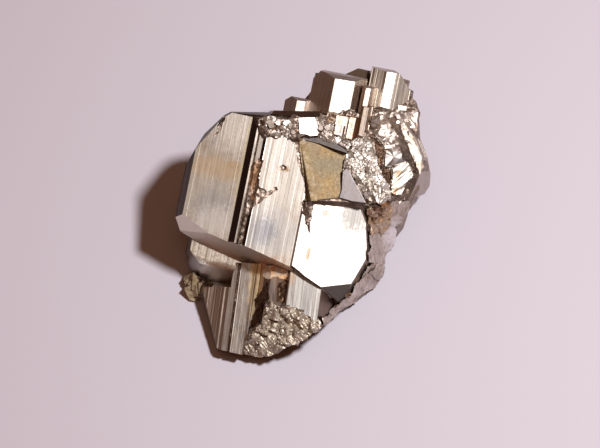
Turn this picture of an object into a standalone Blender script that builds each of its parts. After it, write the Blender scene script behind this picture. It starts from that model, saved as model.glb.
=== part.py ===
# An arsenopyrite crystal group: parallel striated prisms grown together, with broken
# ground between them, in one solid that rests on the flat break underneath.
#
# Positions are in millimetres in the group's own face frame: u to the right, v up along
# the big striated face, w straight out of it. The group lies back on its break, so the
# face frame is tilted into the part's frame (+Z up) at the end.

import math
import random

import bmesh
import bpy
from mathutils import Matrix, Vector, noise

MM = 0.001

# How the group lies: the big face looks up at this angle above the horizon.
FACE_ELEVATION = 60.0
FACE_HEIGHT = 15.8
# The middle of the group on the ground, right and back of the face frame's origin.
MIDDLE = (0.6, 5.3)
BACK = Vector((0, math.sin(math.radians(FACE_ELEVATION)), -math.cos(math.radians(FACE_ELEVATION))))
UP = Vector((0, math.cos(math.radians(FACE_ELEVATION)), math.sin(math.radians(FACE_ELEVATION))))
RIGHT = Vector((1, 0, 0))

# The prisms share one striation direction: it leans to the right and dips away going up.
LEAN = 11.3
DIP = -8.5


def crystal_axes(lean, dip):
    """Across, along and out-of-face directions of a prism in the face frame."""
    lean, dip = math.radians(lean), math.radians(dip)
    across = Vector((math.cos(lean), -math.sin(lean), 0))
    along = Vector(
        (math.sin(lean) * math.cos(dip), math.cos(lean) * math.cos(dip), math.sin(dip))
    )
    return across, along, across.cross(along)


def from_ground(x, y, z=-1.5):
    """A place given right, back and up from the ground under the face frame's origin."""
    return RIGHT * x + BACK * y + UP * (z - FACE_HEIGHT)


def object_from(mesh, name):
    bmesh.ops.recalc_face_normals(mesh, faces=mesh.faces)
    data = bpy.data.meshes.new(name)
    mesh.to_mesh(data)
    mesh.free()
    made = bpy.data.objects.new(name, data)
    bpy.context.scene.collection.objects.link(made)
    return made


def prism(profile, low, high, lean=LEAN, dip=DIP):
    """A bar with the given (across, out) profile, between two distances along its axis."""
    across, along, out = crystal_axes(lean, dip)
    mesh = bmesh.new()
    ring = [mesh.verts.new(across * s + out * h + along * low) for s, h in profile]
    end = mesh.faces.new(ring)
    swept = bmesh.ops.extrude_face_region(mesh, geom=[end])["geom"]
    moved = [g for g in swept if isinstance(g, bmesh.types.BMVert)]
    bmesh.ops.translate(mesh, verts=moved, vec=along * (high - low))
    bmesh.ops.recalc_face_normals(mesh, faces=mesh.faces)
    return mesh


def cut(mesh, point, normal):
    """Cuts off what lies beyond a plane and closes the mesh with the new crystal face."""
    geometry = mesh.verts[:] + mesh.edges[:] + mesh.faces[:]
    done = bmesh.ops.bisect_plane(
        mesh, geom=geometry, dist=1e-5, plane_co=Vector(point),
        plane_no=Vector(normal).normalized(), clear_outer=True,
    )
    rim = [g for g in done["geom_cut"] if isinstance(g, bmesh.types.BMEdge)]
    if rim:
        bmesh.ops.holes_fill(mesh, edges=rim, sides=0)
    bmesh.ops.dissolve_degenerate(mesh, dist=1e-5, edges=mesh.edges)


def cut_edge(mesh, start, end, height, steep, lean=LEAN, dip=DIP):
    """Cuts along an edge seen on the front face. The material kept is on the left of the
    way from start to end. height is the front face's height out of the axis plane, and
    steep the angle of the new face from straight back: positive faces are seen from the front."""
    _, _, out = crystal_axes(lean, dip)
    ends = [
        Vector((u, v, (height - out.x * u - out.y * v) / out.z)) for u, v in (start, end)
    ]
    trace = (ends[1] - ends[0]).normalized()
    outward = Vector((trace.y, -trace.x, 0)).normalized()
    steep = math.radians(steep)
    normal = outward * math.cos(steep) + Vector((0, 0, math.sin(steep)))
    normal -= trace * normal.dot(trace)
    cut(mesh, ends[0], normal)


def main_crystal():
    """The left half of the big striated prism: a plate, three steps up, the first wide
    face, and the long bevel that cuts them off below."""
    profile = [
        (-18.8, -2.7), (-19.9, -4.9), (-18.6, -8.0), (-12.5, -10.0), (-9.0, -17.0),
        (-8.0, -30.0), (6.0, -30.0), (2.0, -3.0), (-0.2, -0.25), (-7.9, 0.0), (-8.35, -0.45),
        (-9.05, -0.45), (-9.25, -0.75), (-9.7, -0.75), (-10.8, -1.95),
    ]
    mesh = prism(profile, -16.0, 22.0)
    left_plate = -2.2
    cut_edge(mesh, (0.0, 17.0), (-10.9, 17.9), left_plate, 8)
    cut_edge(mesh, (-10.9, 17.9), (-12.4, 17.0), left_plate, 12)
    cut_edge(mesh, (-12.4, 17.0), (-17.1, 11.7), left_plate, 8)
    cut_edge(mesh, (-17.0, 11.8), (-18.6, 9.2), left_plate - 2.0, 3)
    cut_edge(mesh, (-18.7, 1.8), (-15.2, -1.0), left_plate, 28)
    cut(mesh, (-6.1, -4.8, 0.7), (-0.415, -0.858, 0.301))
    cut(mesh, from_ground(-5.0, 21.0, 10.0), BACK - RIGHT * 0.3 - UP * 0.05)
    return mesh


def bright_crystal():
    """The right half of the big prism, with the widest face and a steep wall on its right
    that goes down to the ground."""
    profile = [
        (-0.3, -0.32), (-3.0, -6.0), (-2.0, -9.0), (1.0, -30.0), (24.0, -30.0),
        (15.0, -8.0), (11.5, -2.1), (1.5, -0.5),
    ]
    mesh = prism(profile, -16.0, 12.0)
    face = -0.6
    cut_edge(mesh, (-1.4, -6.9), (3.5, -10.1), face, 6)
    cut_edge(mesh, (3.5, -10.1), (8.5, -9.0), face - 0.6, 38)
    cut_edge(mesh, (8.5, -9.0), (10.6, -5.4), face - 1.2, 19)
    cut_edge(mesh, (10.6, -5.4), (10.7, -0.3), face - 1.4, 17)
    cut_edge(mesh, (10.7, -0.3), (9.9, 2.8), face - 1.3, 16)
    # Broken off underneath towards the foot.
    cut(mesh, (4.4, -12.0, -4.6), (0.0, -0.75, -0.66))
    return mesh


def under_crystal():
    """A parallel prism behind the big one, seen below its lower bevel."""
    profile = [
        (-16.6, -10.4), (-17.4, -12.5), (-14.0, -21.0), (-4.0, -21.0), (-4.0, -10.2),
    ]
    mesh = prism(profile, -14.0, 6.0)
    cut_edge(mesh, (-17.6, -4.5), (-16.6, -6.1), -10.4, 20)
    cut_edge(mesh, (-16.6, -6.1), (-10.7, -7.7), -10.3, 40)
    return mesh


LOWER_LEAN = 7.5
LOWER_DIP = -6.0


def lower_crystal():
    """The prism at the foot: a dark striated side on the left, then steps up to a pale
    face on the right, broken off along a slope at its lower end."""
    profile = [
        (-14.2, -9.6), (-15.0, -14.0), (-12.0, -26.0), (6.0, -26.0), (7.4, -8.0),
        (5.9, -4.2), (4.7, -1.5), (-0.5, -1.25), (-1.0, -2.0), (-2.6, -2.5),
        (-3.5, -2.7), (-4.6, -4.0), (-5.1, -4.4), (-6.5, -5.2), (-8.5, -5.4),
        (-8.65, -6.0), (-8.85, -5.5), (-9.6, -5.8),
    ]
    mesh = prism(profile, -24.0, 2.0, LOWER_LEAN, LOWER_DIP)
    lower = {"lean": LOWER_LEAN, "dip": LOWER_DIP}
    cut_edge(mesh, (3.0, -7.4), (-9.6, -6.1), -5.0, -12, **lower)
    cut_edge(mesh, (-11.0, -6.4), (-15.2, -10.2), -7.5, 12, **lower)
    cut_edge(mesh, (-15.5, -11.5), (-14.0, -18.5), -9.0, 8, **lower)
    cut_edge(mesh, (-14.0, -18.5), (-13.6, -20.1), -9.0, 5, **lower)
    cut_edge(mesh, (-13.6, -20.1), (-6.1, -21.6), -5.5, -8, **lower)
    cut_edge(mesh, (-6.1, -21.6), (3.5, -16.6), -3.5, -6, **lower)
    # The broken slope across the lower right.
    cut(mesh, (-1.6, -12.7, 0.0), (-0.2, -0.25, 0.95))
    return mesh


def block(outline, point, normal, depth, spread):
    """A flat-topped block: its outline lies on the plane through point, and it widens by
    spread as it goes back by depth."""
    point, normal = Vector(point), Vector(normal)
    mesh = bmesh.new()
    top = [
        mesh.verts.new(
            (u, v, point.z - ((u - point.x) * normal.x + (v - point.y) * normal.y) / normal.z)
        )
        for u, v in outline
    ]
    centre = sum((v.co for v in top), Vector()) / len(top)
    swept = bmesh.ops.extrude_face_region(mesh, geom=[mesh.faces.new(top)])["geom"]
    widest = max((v.co - centre).length for v in top)
    for vert in (g for g in swept if isinstance(g, bmesh.types.BMVert)):
        away = vert.co - centre
        vert.co = centre + away * (1 + spread / widest) - Vector((0, 0, depth))
    bmesh.ops.recalc_face_normals(mesh, faces=mesh.faces)
    return mesh


def raised_block():
    """The dull brown crystal that stands on the big face."""
    outline = [
        (1.75, 3.7), (10.6, 3.2), (8.2, 7.2), (7.6, 11.2), (3.2, 12.9), (0.0, 13.6),
    ]
    return block(outline, (1.75, 3.7, 0.6), (0.1, 0.3, 0.95), 6.0, 3.2)


def white_block():
    """A flat bright face under the left prism of the crest."""
    outline = [(0.0, 14.2), (3.0, 13.6), (3.0, 15.3), (2.4, 17.2), (-0.5, 17.2)]
    return block(outline, (0.0, 14.2, -2.2), (0.16, 0.12, 0.98), 8.0, 0.8)


def ledge_block():
    """The dark ledge between the left prism and the bright face below it."""
    outline = [(-4.6, 17.7), (-0.6, 17.2), (3.3, 17.3), (3.2, 18.1), (-4.2, 18.3)]
    return block(outline, (-4.6, 17.7, -4.6), (-0.1, 0.75, 0.65), 9.0, 0.8)


# The small prisms of the crest: profile (across, out), the distances of their ends along
# the axis, and how far back they reach from the middle of the group.
CREST_PRISMS = {
    "left_prism": ([(-6.3, -7.0), (-4.35, -5.2), (-3.05, -5.3), (-0.8, -7.4),
                    (-0.8, -26.0), (-6.3, -26.0)], 12.0, 19.6, 23.5),
    "middle_prism": ([(-2.6, -6.2), (0.8, -3.2), (4.5, -3.5), (6.25, -6.0),
                      (5.5, -32.0), (-2.6, -32.0)], 18.6, 24.3, 28.0),
    "middle_foot": ([(1.4, -6.0), (2.8, -4.6), (4.4, -4.7), (5.6, -6.2),
                     (5.6, -15.0), (1.4, -15.0)], 13.0, 20.0, 25.0),
    "sliver_prism": ([(5.9, -6.8), (6.5, -5.2), (7.5, -5.4), (8.6, -8.0),
                      (8.0, -30.0), (5.9, -30.0)], 14.6, 23.6, 25.0),
    "right_prism": ([(6.6, -7.4), (9.1, -5.0), (10.6, -5.2), (13.2, -7.6),
                     (13.2, -34.0), (6.6, -34.0)], 20.8, 26.5, 30.5),
    "corner_prism": ([(11.0, -8.2), (11.9, -6.5), (13.3, -6.8), (14.2, -9.0),
                      (13.8, -28.0), (11.0, -28.0)], 20.9, 25.4, 29.4),
}
END_SLOPE = 25


def crest_prism(profile, low, high, back):
    """A prism whose top end slopes a little towards the front."""
    mesh = prism(profile, low - 2.0, high + 2.0)
    _, along, out = crystal_axes(LEAN, DIP)
    slope = math.radians(END_SLOPE)
    front = max(h for _, h in profile)
    cut(mesh, along * high + out * front, along * math.cos(slope) + out * math.sin(slope))
    cut(mesh, along * low + out * front, -along * math.cos(slope) + out * math.sin(slope / 4))
    cut(mesh, from_ground(0.0, back, 20.0), BACK + RIGHT * 0.12 - UP * 0.28)
    return mesh


SIDE_LEAN = -21.8


def side_crystal():
    """A bright strip of a prism at the upper right, with a dark side on its left."""
    profile = [
        (17.2, -8.6), (19.2, -7.2), (20.8, -5.2), (22.3, -5.6), (23.2, -9.5),
        (22.0, -17.0), (17.2, -17.0),
    ]
    mesh = prism(profile, -3.0, 10.5, SIDE_LEAN, 0.0)
    side = {"lean": SIDE_LEAN, "dip": 0.0}
    cut_edge(mesh, (19.4, 7.9), (20.2, 9.2), -5.4, 12, **side)
    cut_edge(mesh, (19.9, 12.5), (17.2, 15.6), -5.4, 14, **side)
    return mesh


def side_face():
    """The bright flat of the crystal left of the strip."""
    outline = [(14.7, 4.6), (16.6, 4.4), (17.4, 6.6), (18.8, 7.6), (18.4, 9.6),
               (16.5, 10.2), (14.6, 9.2)]
    return block(outline, (14.7, 4.6, -5.4), (0.14, 0.10, 0.98), 9.0, 0.8)


def hull(corners, ground):
    """A convex mass from corners in the face frame and places on the ground (x, y)."""
    mesh = bmesh.new()
    for corner in [*corners, *(from_ground(*place) for place in ground)]:
        mesh.verts.new(corner)
    bmesh.ops.convex_hull(mesh, input=mesh.verts)
    loose = [v for v in mesh.verts if not v.link_faces]
    bmesh.ops.delete(mesh, geom=loose, context="VERTS")
    return mesh


def crumpled(mesh, edge, depth, seed):
    """Breaks a hull's big faces into small ones and moves their corners in and out."""
    for _ in range(6):
        long_edges = [e for e in mesh.edges if e.calc_length() > edge]
        if not long_edges:
            break
        bmesh.ops.subdivide_edges(mesh, edges=long_edges, cuts=1)
        bmesh.ops.triangulate(mesh, faces=mesh.faces)
    mesh.normal_update()
    shift = Vector((seed * 7.3, seed * 3.1, 0))
    moves = [
        v.normal * depth * noise.noise(v.co / (edge * 1.3) + shift) * 1.6
        for v in mesh.verts
    ]
    for vert, move in zip(mesh.verts, moves):
        vert.co += move
    return mesh


# Broken rock between and behind the crystals: the corners of its masses in the face frame,
# their places on the ground, and how coarse and deep its surface is.
ROCK_MASSES = {
    "crest_mass": ([
        (-5.0, 15.5, -9.0), (0.0, 17.0, -9.5), (2.5, 22.0, -14.0), (12.0, 24.5, -12.5),
        (17.5, 22.0, -11.0), (19.3, 18.4, -9.0), (18.9, 13.6, -7.5), (12.5, 12.0, -5.0),
        (5.0, 12.0, -4.5), (20.0, 10.0, -9.5), (19.4, 5.6, -9.0), (17.0, 1.0, -10.0),
        (12.0, 3.0, -4.0),
    ], [
        (-9.0, 19.0), (-3.0, 23.0), (6.0, 24.0), (14.0, 22.0), (18.5, 16.0), (16.6, 8.0),
        (14.0, 3.0), (0.0, 4.0),
    ], 6.0, 0.8, 1),
    "right_top": ([
        (11.5, 18.2, -9.2), (17.5, 18.4, -9.4), (18.9, 20.3, -10.0), (17.8, 21.1, -10.2),
        (19.5, 17.9, -9.6), (18.9, 13.4, -8.2), (16.4, 14.2, -6.2), (13.4, 12.0, -5.8),
        (12.0, 14.0, -5.2), (14.0, 16.0, -14.0), (19.0, 16.5, -14.0), (12.0, 10.0, -8.0),
    ], [], 2.6, 0.35, 2),
    "right_foot": ([
        (9.6, -6.6, -3.4), (8.6, -9.2, -3.6), (7.2, -11.2, -5.0), (5.6, -12.2, -5.6),
        (4.9, -15.4, -7.2), (5.0, -6.0, -14.0), (0.0, -10.0, -14.0),
    ], [
        (14.0, 0.6), (12.8, -2.2), (9.3, -4.5), (7.0, -6.3), (4.0, -9.9), (0.0, -6.0),
        (14.6, 5.0), (2.0, 8.0),
    ], 3.2, 0.4, 3),
    "right_ledge": ([
        (13.0, 4.2, -5.6), (17.2, 4.0, -7.6), (18.4, 5.2, -9.0), (16.6, 0.6, -12.0),
        (15.3, -0.6, -14.0), (12.0, 1.0, -5.0), (11.0, -1.0, -9.0), (12.0, 8.0, -8.0),
    ], [(15.8, 7.6), (14.6, 4.0), (16.4, 12.0), (8.0, 12.0)], 3.2, 0.35, 4),
    "foot_mass": ([
        (-15.2, -10.8, -10.6), (-13.0, -19.8, -7.2), (-6.0, -21.2, -6.2), (3.4, -16.4, -6.4),
        (-15.8, -8.0, -14.5), (-12.0, -3.0, -15.0), (0.0, -4.0, -14.0), (4.0, -12.0, -10.0),
    ], [
        (-14.8, -8.0), (-13.6, -13.6), (-6.2, -15.6), (3.8, -10.0), (-14.0, 2.0), (-4.0, 6.0),
    ], 3.8, 0.35, 5),
    "left_root": ([
        (-13.5, -2.0, -12.0), (-14.0, 8.0, -11.0), (-10.0, 14.0, -11.0), (-4.0, 14.0, -10.0),
        (-4.0, -4.0, -12.0),
    ], [
        (-13.6, 0.0), (-14.2, 8.0), (-12.5, 16.0), (-7.0, 21.0), (0.0, 22.0), (0.0, 0.0),
    ], 5.0, 0.7, 6),
}

# Ground covered with small broken crystals: outline (u, v), the plane it lies on as a
# point and a normal, how many, and their size.
CHIP_FIELDS = {
    "between_plates": ([(-7.1, 17.2), (-0.7, 17.0), (-0.3, 13.9), (-4.6, 13.2), (-5.7, 14.2),
                        (-6.8, 15.2)], (-4.0, 15.5, -2.6), (0.0, 0.15, 0.99), 24, 1.5),
    "right_of_white": ([(3.1, 17.2), (5.0, 16.8), (8.2, 12.6), (7.6, 11.6), (3.4, 13.2)],
                       (5.0, 14.5, -3.2), (0.1, 0.2, 0.97), 16, 1.5),
    "sparkling_ground": ([(7.8, 12.6), (10.5, 13.8), (12.2, 11.0), (12.6, 8.0), (14.4, 5.4),
                          (14.2, 3.6), (10.9, 3.1), (8.6, 6.4), (7.6, 9.6)],
                         (11.0, 8.0, -1.9), (0.12, 0.2, 0.97), 40, 1.6),
    "crest_foot": ([(3.9, 18.6), (6.4, 17.4), (12.4, 17.6), (11.2, 14.4), (7.6, 13.4)],
                   (7.0, 16.5, -4.9), (0.0, 0.2, 0.97), 14, 1.7),
    "broken_end": ([(-8.7, -19.4), (-6.1, -15.2), (-4.6, -13.0), (-1.8, -13.0), (2.8, -16.0),
                    (3.1, -16.7), (-5.9, -21.2)], (-1.6, -12.7, 0.0), (-0.2, -0.25, 0.95), 40, 1.7),
    "low_corner": ([(-18.0, -9.4), (-15.4, -8.0), (-14.6, -10.6), (-15.4, -13.0),
                    (-17.6, -10.8)], (-16.8, -10.2, -11.0), (-0.2, 0.0, 0.98), 10, 2.4),
    "notch": ([(0.4, 3.4), (1.8, 3.4), (1.4, -1.2)], (1.2, 2.0, -0.5),
              (0.1, 0.15, 0.98), 4, 0.9),
}


def inside(point, outline):
    found = False
    for (u0, v0), (u1, v1) in zip(outline, outline[1:] + outline[:1]):
        if (v0 > point[1]) != (v1 > point[1]):
            found ^= point[0] < u0 + (u1 - u0) * (point[1] - v0) / (v1 - v0)
    return found


def chips(outline, point, normal, count, size, rng):
    """Small tilted crystals strewn over a field, each a turned and flattened cube."""
    normal, made = Vector(normal), []
    low = [min(p[i] for p in outline) for i in (0, 1)]
    high = [max(p[i] for p in outline) for i in (0, 1)]
    while len(made) < count:
        place = (rng.uniform(low[0], high[0]), rng.uniform(low[1], high[1]))
        if not inside(place, outline):
            continue
        rise = ((point[0] - place[0]) * normal.x + (point[1] - place[1]) * normal.y) / normal.z
        mesh = bmesh.new()
        bmesh.ops.create_cube(mesh, size=1.0)
        turn = Matrix.Rotation(rng.uniform(0, math.tau), 4, "Z") @ Matrix.Rotation(
            rng.uniform(0.1, 0.8), 4, "X"
        )
        sides = (size * rng.uniform(0.7, 1.3), size * rng.uniform(0.7, 1.3), size * 1.3, 1.0)
        centre = Vector((*place, point[2] + rise - size * rng.uniform(0.15, 0.5)))
        placed = Matrix.Translation(centre) @ turn @ Matrix.Diagonal(sides)
        bmesh.ops.transform(mesh, matrix=placed, verts=mesh.verts)
        made.append(mesh)
    return made


def ground_block():
    """What the flat break underneath takes away."""
    mesh = bmesh.new()
    bmesh.ops.create_cube(mesh, size=1.0)
    turn = Matrix((RIGHT, BACK, UP)).transposed().to_4x4()
    place = Matrix.Translation(UP * (-FACE_HEIGHT - 25.0))
    placed = place @ turn @ Matrix.Diagonal((120, 120, 50, 1))
    bmesh.ops.transform(mesh, matrix=placed, verts=mesh.verts)
    return mesh


def boolean(obj, operation, others):
    """Joins or cuts one solid with a few, which are used up."""
    helpers = bpy.data.collections.new("helpers")
    helpers.hide_render = True
    for other in others:
        other.hide_render = True
        other.display_type = "WIRE"
        helpers.objects.link(other)
    step = obj.modifiers.new(operation.lower(), "BOOLEAN")
    step.operation = operation
    step.operand_type = "COLLECTION"
    step.collection = helpers
    step.solver = "EXACT"
    graph = bpy.context.evaluated_depsgraph_get()
    joined = bpy.data.meshes.new_from_object(obj.evaluated_get(graph))
    obj.modifiers.clear()
    obj.data = joined
    for other in others:
        bpy.data.objects.remove(other)
    bpy.data.collections.remove(helpers)


def outer_skin(obj):
    """Keeps the group's outside only: hollows sealed between the masses are filled."""
    mesh = bmesh.new()
    mesh.from_mesh(obj.data)
    unseen, shells = set(mesh.faces), []
    while unseen:
        shell, waiting = set(), [unseen.pop()]
        while waiting:
            face = waiting.pop()
            shell.add(face)
            beside = {near for edge in face.edges for near in edge.link_faces} & unseen
            unseen -= beside
            waiting += beside
        shells.append(shell)
    outside = max(shells, key=lambda shell: sum(face.calc_area() for face in shell))
    inner = [face for face in mesh.faces if face not in outside]
    bmesh.ops.delete(mesh, geom=inner, context="FACES")
    mesh.to_mesh(obj.data)
    mesh.free()


def to_part_frame(obj):
    """Lays the group on the ground, in metres, with its origin under its middle."""
    turn = Matrix((RIGHT, BACK, UP)).to_4x4()
    middle = Vector((*MIDDLE, -FACE_HEIGHT))
    obj.data.transform(Matrix.Scale(MM, 4) @ Matrix.Translation(-middle) @ turn)


def arsenopyrite():
    made = bpy.data.materials.new("arsenopyrite")
    made.use_nodes = True
    shader = made.node_tree.nodes["Principled BSDF"]
    shader.inputs["Base Color"].default_value = (0.72, 0.68, 0.62, 1)
    shader.inputs["Metallic"].default_value = 1.0
    shader.inputs["Roughness"].default_value = 0.3
    return made


def main():
    for obj in list(bpy.data.objects):
        bpy.data.objects.remove(obj)
    solids = [main_crystal(), bright_crystal(), under_crystal(), lower_crystal(), raised_block(),
              white_block(), ledge_block(), side_crystal(), side_face()]
    solids += [crest_prism(*shape) for shape in CREST_PRISMS.values()]
    solids += [
        crumpled(hull(corners, ground), edge, depth, seed)
        for corners, ground, edge, depth, seed in ROCK_MASSES.values()
    ]
    rng = random.Random(11)
    for field in CHIP_FIELDS.values():
        solids += chips(*field, rng)
    pieces = [object_from(mesh, f"solid_{i}") for i, mesh in enumerate(solids)]
    group = pieces[0]
    boolean(group, "UNION", pieces[1:])
    boolean(group, "DIFFERENCE", [object_from(ground_block(), "ground")])
    outer_skin(group)
    to_part_frame(group)
    group.name = "crystal_group"
    group.data.materials.clear()
    group.data.materials.append(arsenopyrite())


main()
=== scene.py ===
import math
import random

import bpy
from mathutils import Matrix, Vector


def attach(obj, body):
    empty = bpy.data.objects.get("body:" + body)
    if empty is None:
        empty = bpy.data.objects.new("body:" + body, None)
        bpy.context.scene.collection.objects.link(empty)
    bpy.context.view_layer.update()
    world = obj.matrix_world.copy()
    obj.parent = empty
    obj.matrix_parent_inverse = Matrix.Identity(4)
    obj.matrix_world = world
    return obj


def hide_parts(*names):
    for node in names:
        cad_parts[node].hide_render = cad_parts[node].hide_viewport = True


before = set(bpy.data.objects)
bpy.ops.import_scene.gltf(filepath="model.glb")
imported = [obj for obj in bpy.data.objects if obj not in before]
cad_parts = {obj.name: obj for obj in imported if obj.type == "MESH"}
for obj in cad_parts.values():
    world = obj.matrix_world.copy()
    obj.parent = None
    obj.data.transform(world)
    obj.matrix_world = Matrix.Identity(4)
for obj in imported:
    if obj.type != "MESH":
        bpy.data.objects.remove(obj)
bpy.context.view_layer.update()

# The crystals are modelled in the frame of the big striated face: x to the right, y up along
# the face, z out of it, in millimetres. Then the whole group is laid back on its break.
mm = 0.001
overhead = 30        # a height in front of all of it
missed = 20          # what stays above this when it is pressed on lies beside the group
touching = 1e-7      # how near, in metres, a cut takes points as one
groundCut = 0.1      # everything is cut off flat this far above the ground
skinDepth, chipDepth = 0.9, 0.7
blockBevel = 0.1
chamferIn = 0.6      # how far in from its edge a chamfer lies, as a share of its size
uneven = 0.3         # how far the corners of a ragged outline stray, as a share of a step
coverStep = 0.7      # the stretches of a cover's ragged outline
rippleLength = 5     # how many times longer than wide a ripple is
waveSize = (0.7, 5, 0.7)     # the waves of a bar's lines: across, along and out
waveShift = 0.011    # how far apart the waves of two crystals are taken, in metres
# Growth lines: plain rims at both ends of a stretch, then lines or stairs of uneven width.
lineCut = {
    "rim": 0.08, "lastLine": 0.2, "edge": 0.015, "narrowest": 0.1, "widest": 1.6,
    "spread": (0.3, 1.0), "tilt": 0.35,
    "lastStair": 0.15, "stairSpread": (0.5, 1.6), "stairCorner": (0.1, 0.9),
}
lie = {
    "tilt": 60.0,            # how far up the big face looks, in degrees
    "faceHeight": 15.8,      # its middle above the ground
    "middle": (0.6, 5.3),    # the middle of the group, right and back of the face's middle
}
growth = {"lean": 11.3, "dip": -8.5}       # the direction that most crystals share
footGrowth = {"lean": 7.5, "dip": -6.0}
sideGrowth = {"lean": -21.8, "dip": 0.0}


def lieMatrix():
    tilt = math.radians(lie["tilt"])
    right = Vector((1, 0, 0))
    up = Vector((0, math.sin(tilt), math.cos(tilt)))
    out = Vector((0, -math.cos(tilt), math.sin(tilt)))
    turn = Matrix((right, up, out)).transposed().to_4x4()
    x, y = lie["middle"]
    return Matrix.Translation(Vector((-x, -y, lie["faceHeight"])) * mm) @ turn


def growthMatrix(lean, dip):
    # columns: across the crystal, along it, out of its front
    lean, dip = math.radians(lean), math.radians(dip)
    across = Vector((math.cos(lean), -math.sin(lean), 0))
    along = Vector((math.sin(lean) * math.cos(dip), math.cos(lean) * math.cos(dip), math.sin(dip)))
    return Matrix((across, along, across.cross(along))).transposed().to_4x4()


def fromGround(x, y, z):
    # a place given right, back and up, turned into the face's frame
    x0, y0 = lie["middle"]
    return (lieMatrix().inverted() @ (Vector((x - x0, y - y0, z)) * mm)) / mm


backward = fromGround(0, 1, 0) - fromGround(0, 0, 0)
upward = fromGround(0, 0, 1) - fromGround(0, 0, 0)


def pickOnly(obj):
    bpy.ops.object.select_all(action="DESELECT")
    obj.select_set(True)
    bpy.context.view_layer.objects.active = obj


def openMesh(obj):
    pickOnly(obj)
    bpy.ops.object.mode_set(mode="EDIT")
    bpy.ops.mesh.select_all(action="SELECT")


def closeMesh():
    bpy.ops.mesh.select_all(action="SELECT")
    bpy.ops.mesh.normals_make_consistent(inside=False)
    bpy.ops.object.mode_set(mode="OBJECT")


def named(name):
    obj = bpy.context.active_object
    obj.name = name
    obj.data.name = name
    return obj


def modify(obj, kind, **settings):
    pickOnly(obj)
    step = obj.modifiers.new(kind.lower(), kind)
    for setting, value in settings.items():
        setattr(step, setting, value)
    bpy.ops.object.modifier_apply(modifier=step.name)


def keepTurn(obj, matrix):
    # moves the mesh, and leaves the object at the origin
    pickOnly(obj)
    obj.matrix_world = matrix
    bpy.ops.object.transform_apply(location=True, rotation=True, scale=True)


def extrude(obj, *move):
    openMesh(obj)
    move = tuple(step * mm for step in move)
    bpy.ops.mesh.extrude_region_move(TRANSFORM_OT_translate={"value": move})


def sliceOff(obj, point, normal):
    # cuts away what lies past a plane
    openMesh(obj)
    bpy.ops.mesh.bisect(
        plane_co=Vector(point) * mm, plane_no=Vector(normal).normalized(),
        use_fill=True, clear_outer=True, threshold=touching)
    closeMesh()


def edgePlane(start, end, height, steep, lean, dip, inward=0):
    # the plane through an edge drawn on the front, with what is kept on the left of the edge
    out = growthMatrix(lean, dip).col[2].to_3d()
    ends = [Vector((x, y, (height - out.x * x - out.y * y) / out.z)) for x, y in (start, end)]
    trace = (ends[1] - ends[0]).normalized()
    outward = Vector((trace.y, -trace.x, 0)).normalized()
    steep = math.radians(steep)
    normal = outward * math.cos(steep) + Vector((0, 0, math.sin(steep)))
    normal -= trace * normal.dot(trace)
    return ends[0] - outward * inward, normal


def sliceEdge(obj, start, end, height, steep, chamfer=0, *, lean, dip):
    sliceOff(obj, *edgePlane(start, end, height, steep, lean, dip))
    if chamfer:
        halfway = (steep + 90) / 2
        sliceOff(obj, *edgePlane(start, end, height, halfway, lean, dip, chamfer * chamferIn))


def ragged(outline, step, wander, rng):
    # breaks an outline into short uneven stretches
    points = []
    for (x0, y0), (x1, y1) in zip(outline, outline[1:] + outline[:1]):
        length = math.hypot(x1 - x0, y1 - y0)
        count = max(1, round(length / step))
        for i in range(count):
            t = (i + (rng.uniform(-uneven, uneven) if i else 0)) / count
            off = rng.uniform(-wander, wander) if i else 0
            points.append((x0 + (x1 - x0) * t - (y1 - y0) / length * off,
                           y0 + (y1 - y0) * t + (x1 - x0) / length * off))
    return points


def inside(outline, x, y):
    odd = False
    for (x0, y0), (x1, y1) in zip(outline, outline[1:] + outline[:1]):
        if (y0 > y) != (y1 > y) and x < x0 + (y - y0) / (y1 - y0) * (x1 - x0):
            odd = not odd
    return odd


def polygon(name, corners):
    bpy.ops.object.select_all(action="DESELECT")
    bpy.ops.mesh.primitive_circle_add(vertices=len(corners), radius=mm, fill_type="NGON")
    obj = named(name)
    for corner, place in zip(obj.data.vertices, corners):
        corner.co = Vector(place) * mm
    return obj


def flatShape(name, outline, point, normal):
    # an outline seen from the front, laid on a sloping plane
    px, py, pz = point
    nx, ny, nz = normal
    return polygon(name, [(x, y, pz - ((x - px) * nx + (y - py) * ny) / nz) for x, y in outline])


def carve(obj, outline, floor, lean, dip, wander=0.1, step=0.5, seed=1):
    # breaks a ragged hollow into a front. Its floor is a height in the crystal's own frame, or
    # a point and a normal where it slopes
    if isinstance(floor, tuple):
        point, normal = floor
    else:
        normal = growthMatrix(lean, dip).col[2].to_3d()
        point = (0, 0, floor / normal.z)
    cutter = flatShape("cutter", ragged(outline, step, wander, random.Random(seed)), point, normal)
    extrude(cutter, 0, 0, overhead)
    closeMesh()
    modify(obj, "BOOLEAN", object=cutter, operation="DIFFERENCE", solver="EXACT")
    bpy.data.objects.remove(cutter)


def bumpOut(obj, kind, amount, size, middle, **settings):
    texture = bpy.data.textures.new("bumps", kind)
    texture.noise_scale = size * mm
    for setting, value in settings.items():
        setattr(texture, setting, value)
    modify(obj, "DISPLACE", texture=texture, texture_coords="LOCAL", direction="NORMAL",
           mid_level=middle, strength=amount * mm)


def cloudOut(obj, place, **settings):
    # swells a surface by clouds that are moved, turned and drawn out as place says
    stretch = bpy.data.objects.new("stretch", None)
    bpy.context.scene.collection.objects.link(stretch)
    stretch.matrix_world = place
    bpy.context.view_layer.update()
    cloud = bpy.data.textures.new("clouds", "CLOUDS")
    cloud.noise_scale = 1.0
    cloud.noise_depth = 1
    modify(obj, "DISPLACE", texture=cloud, texture_coords="OBJECT", texture_coords_object=stretch,
           **settings)
    bpy.data.objects.remove(stretch)


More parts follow.
